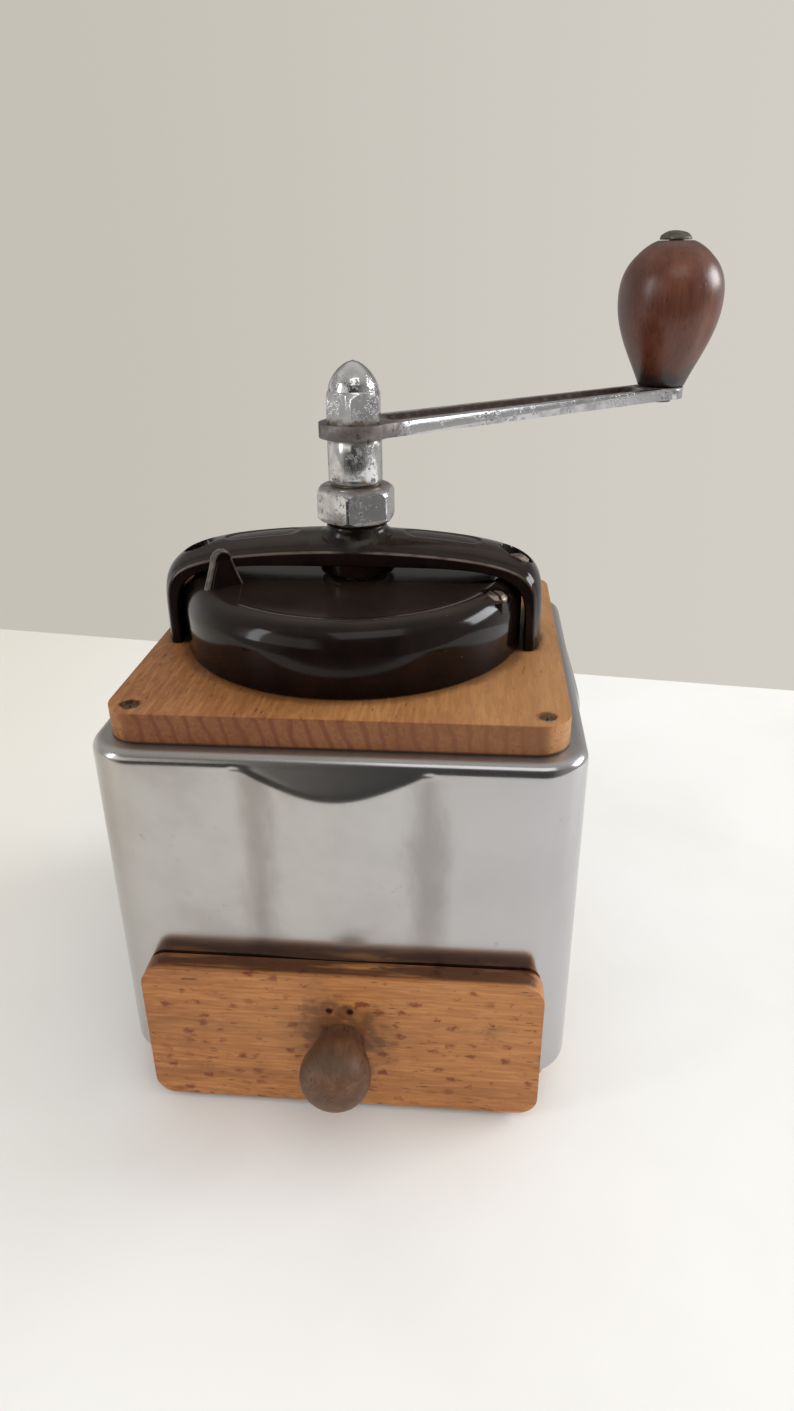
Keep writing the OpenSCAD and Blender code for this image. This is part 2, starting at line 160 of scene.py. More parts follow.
def lin(r, g, b):
    """sRGB 0-255 to linear."""
    return tuple((c / 255 / 12.92 if c / 255 <= 0.04045 else ((c / 255 + 0.055) / 1.055) ** 2.4) for c in (r, g, b))


def wood(name, along, dark, mid, light, fleck=None, flecks=0.0, rings=None, rough=0.5, seed=0.0, fine=1.0, coat=0.03, stain=None, streak=(1.0, 0.30, 430.0)):
    """along: axis the grain runs along, 0 x, 1 y, 2 z; streak: strength, stretch and scale of the streaks."""
    m = Mat(name)
    st = [1.0, 1.0, 1.0]
    st[along] = 0.06
    v = m.map(scale=tuple(st), loc=(seed, seed * 0.7, seed * 1.3))
    st2 = [1.0, 1.0, 1.0]
    st2[along] = streak[1]
    v2 = m.map(scale=tuple(st2), loc=(seed * 1.7, seed, seed * 0.3))
    broad = m.noise(v, 55.0, 4.0, 0.55, 0.6)
    fibre = m.noise(v, 900.0 * fine, 3.0, 0.6)
    large = m.noise(m.map(loc=(seed, 2, 3)), 14.0, 3.0, 0.5)
    grain = m.noise(v2, streak[2], 4.0, 0.65, 0.4)
    col = m.ramp(broad, [(0.16, dark), (0.46, mid), (0.86, light)])
    col = m.mix(m.smooth(grain, 0.42, 0.53, 0.62 * streak[0], 0.0), col, dark)
    col = m.mix(m.smooth(grain, 0.50, 0.61, 0.0, 0.55 * streak[0]), col, light)
    col = m.mix(m.smooth(large, 0.3, 0.75, 0.0, 0.4), col, light)
    col = m.mix(m.smooth(fibre, 0.35, 0.7, 0.35, 0.0), col, dark)
    if rings:                                # growth rings on the end grain
        r = m.t.nodes.new("ShaderNodeTexWave")
        r.wave_type = "BANDS"
        r.bands_direction = rings["dir"]
        m.t.links.new(m.map(scale=rings["scale"], rot=rings["rot"]), r.inputs["Vector"])
        r.inputs["Scale"].default_value = rings["n"]
        r.inputs["Distortion"].default_value = rings["dist"]
        r.inputs["Detail"].default_value = 2.0
        r.inputs["Detail Scale"].default_value = 1.2
        ringf = m.math("MULTIPLY", m.smooth(r.outputs["Fac"], 0.62, 0.98), rings["k"])
        ends = m.smooth(m.math("ABSOLUTE", m.xyz()[1]), 0.0569, 0.0576)
        ringf = m.math("MULTIPLY", ringf, m.math("ADD", m.math("MULTIPLY", ends, 0.92), 0.08))
        col = m.mix(ringf, col, dark)
    # short dark pores lying along the grain
    st3 = [1.0, 1.0, 1.0]
    st3[along] = 0.22
    cell = m.voro(m.map(scale=tuple(st3), loc=(seed + 3, 1, 2)), 620.0 * fine)
    gate = m.noise(m.map(loc=(seed, 9, 4)), 160.0, 2.0)
    pore = m.math("MULTIPLY", m.smooth(cell, 0.16, 0.30, 1.0, 0.0), m.smooth(gate, 0.50, 0.62), True)
    col = m.mix(m.math("MULTIPLY", pore, 0.55), col, tuple(c * 0.35 for c in dark))
    if flecks and fleck:                     # ray flecks
        fv = m.map(scale=tuple(0.62 if k == along else 1.0 for k in range(3)), loc=(seed * 2, 5, 1))
        warp = m.node("ShaderNodeVectorMath", {0: m.node("ShaderNodeTexNoise", {"Vector": m.co, "Scale": 700.0, "Detail": 2.0}).outputs["Color"], 1: (0.0022, 0.0022, 0.0022)}, operation="MULTIPLY").outputs[0]
        fv = m.node("ShaderNodeVectorMath", {0: fv, 1: warp}, operation="ADD").outputs[0]
        d = m.voro(fv, 330.0)
        c = m.voro(fv, 330.0, out="Color")
        pick = m.math("MULTIPLY", m.smooth(m.xyz(c)[0], 0.40, 0.62), m.smooth(m.noise(m.map(loc=(seed, 4, 7)), 70.0, 2.0), 0.30, 0.50))
        f = m.math("MULTIPLY", m.math("MULTIPLY", m.smooth(d, 0.14, 0.44, 1.0, 0.0), pick), flecks, True)
        col = m.mix(f, col, fleck)
        d = m.voro(fv, 610.0)
        pick = m.smooth(m.xyz(m.voro(fv, 610.0, out="Color"))[1], 0.62, 0.82)
        col = m.mix(m.math("MULTIPLY", m.math("MULTIPLY", m.smooth(d, 0.12, 0.42, 1.0, 0.0), pick), flecks * 0.6, True), col, fleck)
    # extra marks from the given function: stains, and on the boards also painted shade
    if stain:
        for s in stain(m):
            col = m.mix(s[0], col, s[1])
    rgh = m.math("ADD", m.math("MULTIPLY", fibre, 0.22), rough - 0.1)
    h = m.math("ADD", m.math("MULTIPLY", fibre, 0.5), m.math("MULTIPLY", pore, -1.0))
    h = m.math("ADD", h, m.math("MULTIPLY", broad, 0.4))
    nb = m.bump(h, 0.35, 0.00022)
    return m.bsdf(color=col, rough=rgh, normal=nb, spec=0.33, coat=coat, coat_rough=0.3)


def front_stain(m):
    x, y, z = m.xyz()
    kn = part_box("drawer_knob")
    cx, cz = (kn[0].x + kn[1].x) / 2, (kn[0].z + kn[1].z) / 2
    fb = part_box("drawer_front")
    grime_n = m.noise(m.map(scale=(0.5, 1, 1)), 150.0, 4.0, 0.65)
    d = m.dist((cx - 0.001, fb[0].y, cz + 0.003))
    d = m.math("ADD", d, m.math("MULTIPLY", m.math("SUBTRACT", grime_n, 0.5), 0.030))
    ring = m.math("MULTIPLY", m.smooth(d, 0.0080, 0.0150, 0.72, 0.0), m.smooth(m.noise(m.map(loc=(3, 3, 3)), 420.0, 3.0), 0.30, 0.55, 0.45, 1.0))
    out = [(ring, lin(96, 62, 40))]
    # stained top edge
    top = m.smooth(z, fb[1].z - 0.0026, fb[1].z - 0.0002)
    top = m.math("MULTIPLY", top, m.smooth(m.noise(m.map(scale=(0.12, 1, 1), loc=(0, 4, 0)), 300.0, 3.0), 0.25, 0.5))
    back = m.smooth(y, fb[0].y + 0.0006, fb[0].y + 0.002)
    out.append((m.math("MULTIPLY", m.math("MULTIPLY", top, back), 0.85), lin(58, 30, 20)))
    for hx in (-0.003, 0.0026):
        out.append((m.smooth(m.dist((cx + hx, fb[0].y, 0.0356)), 0.0007, 0.0013, 0.9, 0.0), lin(44, 26, 18)))
    # scattered dark scratches and dents
    sc = m.noise(m.map(scale=(0.25, 1, 1.0), loc=(7, 1, 2)), 420.0, 2.0)
    gate = m.noise(m.map(loc=(1, 8, 2)), 60.0, 2.0)
    out.append((m.math("MULTIPLY", m.smooth(sc, 0.70, 0.76), m.smooth(gate, 0.5, 0.62)), lin(84, 44, 26)))
    # greyish band across the middle
    band = m.math("MULTIPLY", m.smooth(m.math("ABSOLUTE", m.math("SUBTRACT", z, cz + 0.0045)), 0.001, 0.006, 1.0, 0.0), m.smooth(grime_n, 0.45, 0.7))
    out.append((m.math("MULTIPLY", band, 0.5), lin(120, 84, 52)))
    return out


def board_stain_and_shade(m):
    out = []
    sc = m.noise(m.map(scale=(1, 0.3, 1), loc=(3, 1, 2)), 520.0, 2.0)
    gate = m.noise(m.map(loc=(1, 5, 2)), 45.0, 2.0)
    out.append((m.math("MULTIPLY", m.smooth(sc, 0.68, 0.75), m.smooth(gate, 0.48, 0.6)), lin(88, 46, 24)))
    for sx in (-1, 1):
        for sy in (-1, 1):
            d = m.dist((sx * 0.0517, sy * 0.0517, ZW * S))
            n = m.noise(m.map(loc=(sx, sy, 1)), 500.0, 2.0)
            d = m.math("ADD", d, m.math("MULTIPLY", m.math("SUBTRACT", n, 0.5), 0.0022))
            out.append((m.smooth(d, 0.0023, 0.0032, 0.85, 0.0), lin(50, 28, 18)))
    x, y, z = m.xyz()
    # lighter toward the right, darker end grain and edges
    out.append((m.smooth(x, -0.02, 0.058, 0.0, 0.34), lin(204, 156, 104)))
    out.append((m.smooth(m.math("ABSOLUTE", y), 0.0566, 0.0576, 0.0, 0.62), lin(100, 54, 34)))
    # darker ring on the board round the hopper's foot
    xc, yc = m.math("ADD", x, 0.0015), m.math("SUBTRACT", y, 0.0018)
    rad = m.math("SQRT", m.math("ADD", m.math("MULTIPLY", xc, xc), m.math("MULTIPLY", yc, yc)))
    n = m.noise(m.co, 120.0, 4.0)
    rad = m.math("ADD", rad, m.math("MULTIPLY", m.math("SUBTRACT", n, 0.5), 0.006))
    out.append((m.math("MULTIPLY", m.smooth(rad, 0.0485, 0.0522, 0.65, 0.0), m.smooth(z, ZW * S - 0.001, ZW * S - 0.0002)), lin(92, 56, 32)))
    # painted shade: dark line along the board's underside edge, where it sits on the metal rim
    under = m.math("MULTIPLY", m.smooth(z, (ZT + 0.35) * S, (ZT + 1.05) * S, 0.88, 0.0), m.smooth(z, (ZT - 2.0) * S, (ZT - 1.0) * S))
    out.append((under, lin(30, 20, 15)))
    # painted shade on the board behind and round the bridge's feet
    foot = m.math("MULTIPLY", m.smooth(rad, 0.0530, 0.0560, 0.9, 0.0), m.math("MULTIPLY", m.smooth(y, -0.012, -0.009), m.smooth(y, 0.026, 0.034, 1.0, 0.0)))
    foot = m.math("MULTIPLY", foot, m.smooth(z, ZW * S - 0.001, ZW * S - 0.0002))
    out.append((foot, lin(40, 24, 17)))
    return out


MATS = {}
MATS["wood_board"] = wood("wood_board", 1, lin(120, 68, 35), lin(160, 105, 59), lin(184, 131, 80), fleck=lin(126, 70, 38), flecks=0.4, fine=1.25,
                          rings={"dir": "X", "scale": (1, 0.02, 1), "rot": (0, 0.25, 0), "n": 76.0, "dist": 4.5, "k": 0.85}, rough=0.46, seed=2.0, stain=board_stain_and_shade, streak=(0.62, 0.13, 760.0))
MATS["wood_front"] = wood("wood_front", 0, lin(126, 74, 38), lin(178, 117, 66), lin(200, 141, 87), fleck=lin(118, 56, 32), flecks=0.9, fine=1.35,
                          rough=0.46, seed=5.0, stain=front_stain, streak=(0.6, 0.13, 620.0))
MATS["wood_inner"] = wood("wood_inner", 1, lin(140, 96, 58), lin(188, 142, 94), lin(214, 174, 124), rough=0.62, seed=9.0, coat=0.0, streak=(0.4, 0.08, 520.0))


def knob_stain(m):
    n = m.noise(m.map(scale=(1, 0.6, 1)), 130.0, 4.0, 0.6)
    return [(m.smooth(n, 0.42, 0.68, 0.0, 0.75), lin(78, 56, 41)), (m.smooth(m.noise(m.map(loc=(4, 4, 4)), 260.0, 2.0), 0.58, 0.72, 0.0, 0.6), lin(104, 60, 44))]


MATS["wood_knob"] = wood("wood_knob", 1, lin(62, 38, 26), lin(98, 67, 46), lin(120, 86, 61), rough=0.5, seed=3.0, fine=1.3, stain=knob_stain, streak=(0.6, 0.2, 500.0))


def grip_stain(m):
    x, y, z = m.xyz()
    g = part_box("grip")
    n = m.noise(m.map(scale=(1, 1, 0.5)), 120.0, 3.0)
    zz = m.math("ADD", z, m.math("MULTIPLY", m.math("SUBTRACT", n, 0.5), 0.010))
    grime = m.smooth(zz, g[0].z + 0.002, g[0].z + 0.0085, 0.95, 0.0)
    worn = m.smooth(m.noise(m.map(scale=(1, 1, 0.35), loc=(8, 3, 1)), 75.0, 2.0), 0.55, 0.75, 0.0, 0.5)
    blotch = m.smooth(m.noise(m.map(scale=(1, 1, 0.5), loc=(2, 1, 5)), 60.0, 3.0), 0.5, 0.7, 0.0, 0.55)
    return [(worn, lin(124, 72, 44)), (blotch, lin(50, 24, 18)), (grime, lin(20, 16, 14))]


MATS["wood_grip"] = wood("wood_grip", 2, lin(50, 21, 14), lin(84, 41, 27), lin(110, 60, 40), rough=0.30, seed=6.0, fine=1.4, coat=0.45, stain=grip_stain, streak=(0.45, 0.12, 520.0))


def metal_body():
    m = Mat("body_metal")
    x, y, z = m.xyz()
    smudge = m.noise(m.map(loc=(3, 1, 4)), 38.0, 5.0, 0.6)
    fine = m.noise(m.map(loc=(1, 7, 2)), 420.0, 4.0, 0.6)
    brush = m.noise(m.map(scale=(1, 1, 0.02)), 1400.0, 2.0)
    cross = m.noise(m.map(scale=(0.03, 0.03, 1)), 900.0, 2.0)
    col = m.mix(m.smooth(smudge, 0.40, 0.72), lin(190, 187, 184), lin(178, 174, 171))
    # painted reflection: a bluish tint over the right-hand side of the walls
    col = m.mix(m.smooth(x, -0.01, 0.055, 0.0, 0.75), col, lin(189, 188, 192))
    # painted shade: darker vertical bands in the valleys either side of each wall's swelling, weaker toward the bottom
    # and fading out under the top rim
    hgt = m.smooth(z, 0.044, 0.060, 0.25, 1.0)
    hgt = m.math("MULTIPLY", hgt, m.smooth(z, ZT * S - 0.006, ZT * S - 0.003, 1.0, 0.0))
    wob = m.math("MULTIPLY", m.math("SUBTRACT", m.noise(m.map(scale=(1, 1, 0.35), loc=(8, 2, 6)), 95.0, 5.0, 0.65), 0.5), 0.012)
    for lat, face in ((x, y), (y, x)):
        d = m.math("ADD", m.math("ABSOLUTE", m.math("SUBTRACT", m.math("ABSOLUTE", m.math("SUBTRACT", lat, 0.002)), 0.0213)), wob)
        on = m.smooth(m.math("ABSOLUTE", face), 0.0595, 0.0615)
        band = m.math("MULTIPLY", m.math("MULTIPLY", m.smooth(d, 0.0, 0.0072, 1.0, 0.0), on), hgt)
        col = m.mix(m.math("MULTIPLY", band, 0.48), col, lin(124, 116, 111))
    spots = m.math("MULTIPLY", m.smooth(fine, 0.62, 0.72), m.smooth(m.noise(m.map(loc=(5, 5, 5)), 50.0, 2.0), 0.48, 0.62))
    col = m.mix(m.math("MULTIPLY", spots, 0.28), col, lin(128, 122, 116))
    pits = m.math("MULTIPLY", m.smooth(m.voro(m.map(loc=(2, 2, 9)), 700.0), 0.0, 0.12, 1.0, 0.0), m.smooth(m.noise(m.co, 70.0, 2.0), 0.58, 0.66))
    col = m.mix(pits, col, lin(70, 64, 58))
    r = m.math("ADD", m.math("MULTIPLY", m.smooth(smudge, 0.35, 0.7), 0.05), 0.155)
    r = m.math("ADD", r, m.math("MULTIPLY", fine, 0.05))
    nz = m.xyz(m.node("ShaderNodeNewGeometry", {}).outputs["Normal"])[2]
    r = m.math("ADD", r, m.smooth(nz, 0.70, 0.97, 0.0, 0.20))
    h = m.math("ADD", m.math("MULTIPLY", brush, 0.6), m.math("MULTIPLY", cross, 0.4))
    nb = m.bump(h, 0.08, 0.0001)
    return m.bsdf(color=col, metal=1.0, rough=r, normal=nb)


MATS["body_metal"] = metal_body()


def bakelite(name, dust_and_sheen=0.0, bloom=False, gloss=0.0, tab=False):
    """Dark moulded plastic; what faces up gets a lighter film, partly dust and partly painted sheen."""
    m = Mat(name)
    mot = m.noise(m.map(loc=(1, 1, 1)), 90.0, 5.0, 0.7)
    col = m.mix(m.smooth(mot, 0.35, 0.7), lin(14, 8, 7), lin(26, 15, 12))
    dust = m.smooth(m.noise(m.map(loc=(6, 3, 2)), 22.0, 4.0, 0.6), 0.4, 0.75)
    r = m.math("ADD", m.math("MULTIPLY", dust, 0.09), 0.08 - gloss * 0.6)
    r = m.math("ADD", r, m.math("MULTIPLY", m.noise(m.co, 600.0, 3.0), 0.05))
    # up-facing surfaces lightened: dust, and a painted sheen standing in for the reflected room
    if dust_and_sheen:
        nz = m.xyz(m.node("ShaderNodeNewGeometry", {}).outputs["Normal"])[2]
        cloud = m.noise(m.map(loc=(2, 7, 5)), 55.0, 5.0, 0.65)
        f = m.math("MULTIPLY", m.smooth(nz, 0.70, 0.97), m.smooth(cloud, 0.25, 0.62, 0.55, 1.0))
        f = m.math("MULTIPLY", f, dust_and_sheen)
        col = m.mix(f, col, lin(66, 54, 47))
        r = m.math("ADD", r, m.math("MULTIPLY", f, 0.05))
    specks = m.math("MULTIPLY", m.smooth(m.voro(m.map(loc=(4, 2, 1)), 520.0), 0.0, 0.09, 1.0, 0.0), m.smooth(m.noise(m.map(loc=(9, 1, 1)), 40.0, 2.0), 0.54, 0.64))
    col = m.mix(m.math("MULTIPLY", specks, 0.8), col, lin(150, 118, 84))
    if bloom:                                # dull greenish bloom round the boss
        x, y, z = m.xyz()
        rad = m.math("SQRT", m.math("ADD", m.math("MULTIPLY", x, x), m.math("MULTIPLY", y, y)))
        n = m.noise(m.map(loc=(2, 2, 2)), 130.0, 4.0, 0.65)
        f = m.math("MULTIPLY", m.smooth(rad, 0.009, 0.030, 1.0, 0.0), m.smooth(n, 0.42, 0.68))
        f = m.math("MULTIPLY", f, m.smooth(z, ZW * S + 0.026, ZW * S + 0.030))
        col = m.mix(m.math("MULTIPLY", f, 0.3), col, lin(78, 76, 60))
        r = m.math("ADD", r, m.math("MULTIPLY", f, 0.2))
        # lighter edges of the bridge where they face up: partly wear, partly a painted highlight along the ridge
        e = m.math("MULTIPLY", m.smooth(m.math("ABSOLUTE", y), 0.01035, 0.0107), m.smooth(nz, 0.15, 0.5))
        e = m.math("MULTIPLY", e, m.smooth(rad, 0.0105, 0.013))
        e = m.math("MULTIPLY", e, m.smooth(m.noise(m.map(scale=(0.4, 1, 1), loc=(3, 5, 8)), 420.0, 3.0), 0.3, 0.55, 0.35, 0.8))
        col = m.mix(e, col, lin(104, 90, 80))
    if tab:                                  # lighter outline of the finger tab: painted highlight along its rim, broken up like wear
        x, y, z = m.xyz()
        c, q = math.cos(math.radians(46.7)), math.sin(math.radians(46.7))
        u = m.math("ADD", m.math("MULTIPLY", m.math("ADD", x, 0.0353), c), m.math("MULTIPLY", m.math("ADD", y, 0.0156), q))
        zz = m.math("MAXIMUM", m.math("SUBTRACT", z, (ZR - 1.2) * S), 0.0)
        hw = m.math("SUBTRACT", 0.0064, m.math("MULTIPLY", m.math("POWER", m.math("DIVIDE", zz, 0.0082), 0.85), 0.0033))
        e1 = m.math("MULTIPLY", m.smooth(m.math("SUBTRACT", m.math("ABSOLUTE", u), hw), -0.0011, -0.0004), m.math("LESS_THAN", zz, 0.0082))
        up = m.math("SUBTRACT", zz, 0.0082)
        rr = m.math("SQRT", m.math("ADD", m.math("MULTIPLY", u, u), m.math("MULTIPLY", up, up)))
        e2 = m.math("MULTIPLY", m.smooth(rr, 0.0021, 0.0027), m.math("GREATER_THAN", zz, 0.0082))
        e = m.math("MULTIPLY", m.math("MAXIMUM", e1, e2), m.smooth(m.noise(m.map(loc=(2, 5, 3)), 500.0, 3.0), 0.3, 0.6, 0.3, 0.7))
        col = m.mix(e, col, lin(112, 102, 96))
    nb = m.bump(m.noise(m.co, 160.0, 3.0), 0.05, 0.0003)
    spec = m.smooth(m.xyz()[2], ZW * S + 0.002, ZW * S + 0.011, 0.11, 0.29)
    return m.bsdf(color=col, rough=r, normal=nb, spec=spec)


MATS["bakelite"] = bakelite("bakelite", dust_and_sheen=0.3)
MATS["bakelite_tab"] = bakelite("bakelite_tab", gloss=0.05, tab=True)
MATS["bakelite_bridge"] = bakelite("bakelite_bridge", dust_and_sheen=0.35, bloom=True)


def chrome(name, rust=0.5, crev=None, bright=(0.66, 0.66, 0.67), rough=0.09, gate=0.48, stain=(84, 62, 46), even=0.35):
    """Worn plating: small black pits, grey blooms and brown rust that gathers in corners."""
    m = Mat(name)
    cl = m.noise(m.map(loc=(3, 3, 1)), 120.0, 4.0, 0.6)
    fine = m.noise(m.map(loc=(1, 2, 3)), 900.0, 4.0, 0.7)
    mid = m.noise(m.map(loc=(7, 2, 3)), 330.0, 4.0, 0.65)
    pit = m.math("MULTIPLY", m.smooth(fine, 0.54, 0.62), m.smooth(cl, gate, gate + 0.12))
    pit2 = m.math("MULTIPLY", m.smooth(mid, 0.56, 0.64), m.smooth(cl, 0.40, 0.55))
    grey = m.smooth(m.noise(m.map(loc=(5, 1, 3)), 160.0, 4.0, 0.6), 0.42, 0.66)
    col = m.mix(m.math("MULTIPLY", grey, 0.5), bright, lin(138, 135, 138))
    col = m.mix(m.math("MULTIPLY", pit2, 0.7 * rust + 0.2), col, lin(98, 76, 62))
    col = m.mix(m.math("MULTIPLY", pit, 0.9), col, lin(44, 36, 32))
    rustf = m.math("MULTIPLY", pit2, 0.7)
    if crev is not None:
        c = crev(m)
        cn = m.math("MULTIPLY", c, m.smooth(mid, 0.25, 0.55, even, 1.0))
        col = m.mix(cn, col, lin(*stain))
        rustf = m.math("MAXIMUM", rustf, cn)
    dull = m.math("MAXIMUM", rustf, m.math("MULTIPLY", pit, 0.8))
    met = m.math("SUBTRACT", 1.0, m.math("MULTIPLY", dull, 0.75), True)
    r = m.math("ADD", m.math("MULTIPLY", grey, 0.12), rough)
    r = m.math("ADD", r, m.math("MULTIPLY", dull, 0.4), True)
    h = m.math("ADD", m.math("MULTIPLY", dull, -1.0), m.math("MULTIPLY", fine, 0.12))
    nb = m.bump(h, 0.45, 0.00012)
    return m.bsdf(color=col, metal=met, rough=r, normal=nb)


def crev_z(levels):
    """Stain near given heights (mm, reach in mm)."""
    def f(m):
        x, y, z = m.xyz()
        tot = None
        for zz, reach, k in levels:
            d = m.math("ABSOLUTE", m.math("SUBTRACT", z, zz * S))
            n = m.noise(m.map(loc=(zz, 0, 0)), 300.0, 3.0)
            d = m.math("ADD", d, m.math("MULTIPLY", m.math("SUBTRACT", n, 0.5), reach * S * 1.6))
            v = m.smooth(d, 0.0, reach * S, k, 0.0)
            tot = v if tot is None else m.math("MAXIMUM", tot, v)
        return tot
    return f


ZN0, ZN1 = box_mm("adjusting_nut")[0][2], box_mm("adjusting_nut")[1][2]
ZS0, ZS1 = box_mm("sleeve")[0][2], box_mm("sleeve")[1][2]
ZA0, ZA1 = box_mm("acorn_nut")[0][2], box_mm("acorn_nut")[1][2]
MATS["chrome_nut"] = chrome("chrome_nut", 0.6, crev_z([(ZN1, 1.8, 0.8), (ZN0, 1.2, 0.7)]))
MATS["chrome_sleeve"] = chrome("chrome_sleeve", 0.3, crev_z([(ZS1, 1.5, 0.8), (ZS0, 1.0, 0.6)]), rough=0.10, gate=0.44)
MATS["chrome_acorn"] = chrome("chrome_acorn", 0.3, crev_z([(ZA0, 2.2, 0.9)]), bright=(0.72, 0.72, 0.73), rough=0.08, gate=0.42)


def arm_crev(m):
    """Rusty channel and the stained end by the hub."""
    x, y, z = m.xyz()
    ca, sa = math.cos(CRANK_A), math.sin(CRANK_A)
    al = m.math("ADD", m.math("MULTIPLY", x, ca), m.math("MULTIPLY", y, sa))
    ac = m.math("SUBTRACT", m.math("MULTIPLY", y, ca), m.math("MULTIPLY", x, sa))
    n = m.noise(m.map(loc=(1, 1, 1)), 400.0, 4.0, 0.6)
    ac = m.math("ADD", ac, m.math("MULTIPLY", m.math("SUBTRACT", n, 0.5), 0.0018))
    chan = m.math("MULTIPLY", m.smooth(ac, 0.0054, 0.0062, 1.0, 0.0), m.smooth(ac, -0.0052, -0.0045))
    chan = m.math("MULTIPLY", chan, m.smooth(z, (ZARM + 1.6) * S, (ZARM + 2.2) * S))
    chan = m.math("MULTIPLY", chan, m.math("MULTIPLY", m.smooth(al, 0.008, 0.010), m.smooth(al, 0.110, 0.114, 1.0, 0.0)))
    hub = m.smooth(m.math("ADD", al, m.math("MULTIPLY", m.math("SUBTRACT", n, 0.5), 0.006)), 0.008, 0.0125, 0.8, 0.0)
    end = m.smooth(m.dist((CRANK_R * S * ca, CRANK_R * S * sa, ZTOP * S)), 0.008, 0.0105, 0.9, 0.0)
    end = m.math("MULTIPLY", end, m.smooth(z, (ZTOP - 1.0) * S, (ZTOP - 0.1) * S))
    return m.math("MAXIMUM", m.math("MAXIMUM", chan, hub), end)


MATS["chrome_arm"] = chrome("chrome_arm", 0.45, arm_crev, bright=(0.50, 0.50, 0.51), rough=0.15, stain=(62, 46, 36), even=0.8)


def plain_metal(name, base, dark, rough, scale=300.0, metal=1.0, stain=0.5):
    m = Mat(name)
    n = m.noise(m.co, scale, 5.0, 0.65)
    g = m.noise(m.map(loc=(4, 4, 4)), scale * 3, 3.0, 0.6)
    f = m.smooth(n, 0.4, 0.68)
    col = m.mix(m.math("MULTIPLY", f, stain), base, dark)
    r = m.math("ADD", m.math("MULTIPLY", f, 0.25), rough, True)
    met = m.math("SUBTRACT", metal, m.math("MULTIPLY", f, 0.4 * metal), True)
    nb = m.bump(m.math("ADD", n, m.math("MULTIPLY", g, 0.4)), 0.3, 0.0001)
    return m.bsdf(color=col, metal=met, rough=r, normal=nb)


MATS["steel"] = plain_metal("steel", lin(178, 168, 156), lin(92, 66, 46), 0.26, 420.0, 1.0, 0.8)
MATS["dark_screw"] = plain_metal("dark_screw", lin(128, 116, 102), lin(66, 52, 42), 0.42, 500.0, 0.8, 0.7)
MATS["brass"] = plain_metal("brass", lin(104, 92, 74), lin(56, 46, 34), 0.36, 420.0, 0.9, 0.8)
MATS["iron"] = plain_metal("iron", lin(96, 93, 90), lin(60, 52, 46), 0.5, 350.0, 0.85, 0.7)
MATS["rivet"] = plain_metal("rivet", lin(110, 106, 94), lin(58, 54, 44), 0.42, 420.0, 0.8, 0.8)

NODE_MAT = {
    "base_board": "wood_board", "top_board": "wood_board", "corner_posts": "wood_inner", "drawer_side_left": "wood_inner",
    "drawer_side_right": "wood_inner", "drawer_back": "wood_inner", "drawer_bottom": "wood_inner", "drawer_front": "wood_front",
    "drawer_knob": "wood_knob", "grip": "wood_grip", "body_shell": "body_metal", "hopper": "bakelite", "lid": "bakelite",
    "bridge": "bakelite_bridge", "adjusting_nut": "chrome_nut", "sleeve": "chrome_sleeve", "acorn_nut": "chrome_acorn",
    "crank_arm": "chrome_arm", "base_screws": "dark_screw", "board_screws": "dark_screw", "bearing_bush": "brass",
    "thrust_washer": "brass", "burr_housing": "iron", "outer_burr": "iron", "inner_burr": "iron", "lower_bearing": "iron",
    "grip_pin": "rivet", "shaft": "steel", "burr_pin": "steel", "lid_screw": "steel", "bridge_screws": "steel",
    "housing_screws": "steel", "bearing_screws": "steel", "knob_screw": "steel"}
for n, o in nodes.items():
    mt = MATS[NODE_MAT.get(n, "steel")]
    if o.data.materials:
        for k in range(len(o.data.materials)):
            o.data.materials[k] = mt
    else:
        o.data.materials.append(mt)


# ---------------------------------------------------------------- mesh helpers
def make(name, verts, faces, mat, body, stands_for=(), smooth=True, recalc=True):
    me = bpy.data.meshes.new(name)
    me.from_pydata([tuple(float(c) * S for c in v) for v in verts], [], [tuple(int(i) for i in f) for f in faces])
    if recalc:
        bm = bmesh.new()
        bm.from_mesh(me)
        bmesh.ops.remove_doubles(bm, verts=bm.verts, dist=1e-7)
        bmesh.ops.recalc_face_normals(bm, faces=bm.faces)
        bm.to_mesh(me)
        bm.free()
    for p in me.polygons:
        p.use_smooth = smooth
    me.materials.append(MATS[mat])
    o = bpy.data.objects.new(name, me)
    bpy.context.scene.collection.objects.link(o)
    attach(o, body)
    if stands_for:
        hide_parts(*stands_for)
    return o


def soften(o, width, segs=2, angle=28.0, weld=True):
    """Rounded edges on an object through modifiers."""
    if weld:
        w = o.modifiers.new("weld", "WELD")
        w.merge_threshold = 2e-6
    b = o.modifiers.new("bevel", "BEVEL")
    b.width = width * S
    b.segments = segs
    b.limit_method = "ANGLE"
    b.angle_limit = math.radians(angle)
    b.harden_normals = True
    b.use_clamp_overlap = True
    return o


def apply_mods(o):
    bpy.context.view_layer.update()
    dg = bpy.context.evaluated_depsgraph_get()
    me = bpy.data.meshes.new_from_object(o.evaluated_get(dg), preserve_all_data_layers=True, depsgraph=dg)
    o.modifiers.clear()
    o.data = me


def raw(name, verts, faces):
    me = bpy.data.meshes.new(name)
    me.from_pydata([tuple(float(c) * S for c in v) for v in verts], [], [tuple(int(i) for i in f) for f in faces])
    bm = bmesh.new()
    bm.from_mesh(me)
    bmesh.ops.remove_doubles(bm, verts=bm.verts, dist=1e-7)
    bmesh.ops.recalc_face_normals(bm, faces=bm.faces)
    bm.to_mesh(me)
    bm.free()
    o = bpy.data.objects.new(name, me)
    bpy.context.scene.collection.objects.link(o)
    return o


def boolean(o, cutter, op="DIFFERENCE"):
    b = o.modifiers.new("bool", "BOOLEAN")
    b.operation = op
    b.solver = "EXACT"
    b.object = cutter
    apply_mods(o)
    me = cutter.data
    bpy.data.objects.remove(cutter)
    bpy.data.meshes.remove(me)


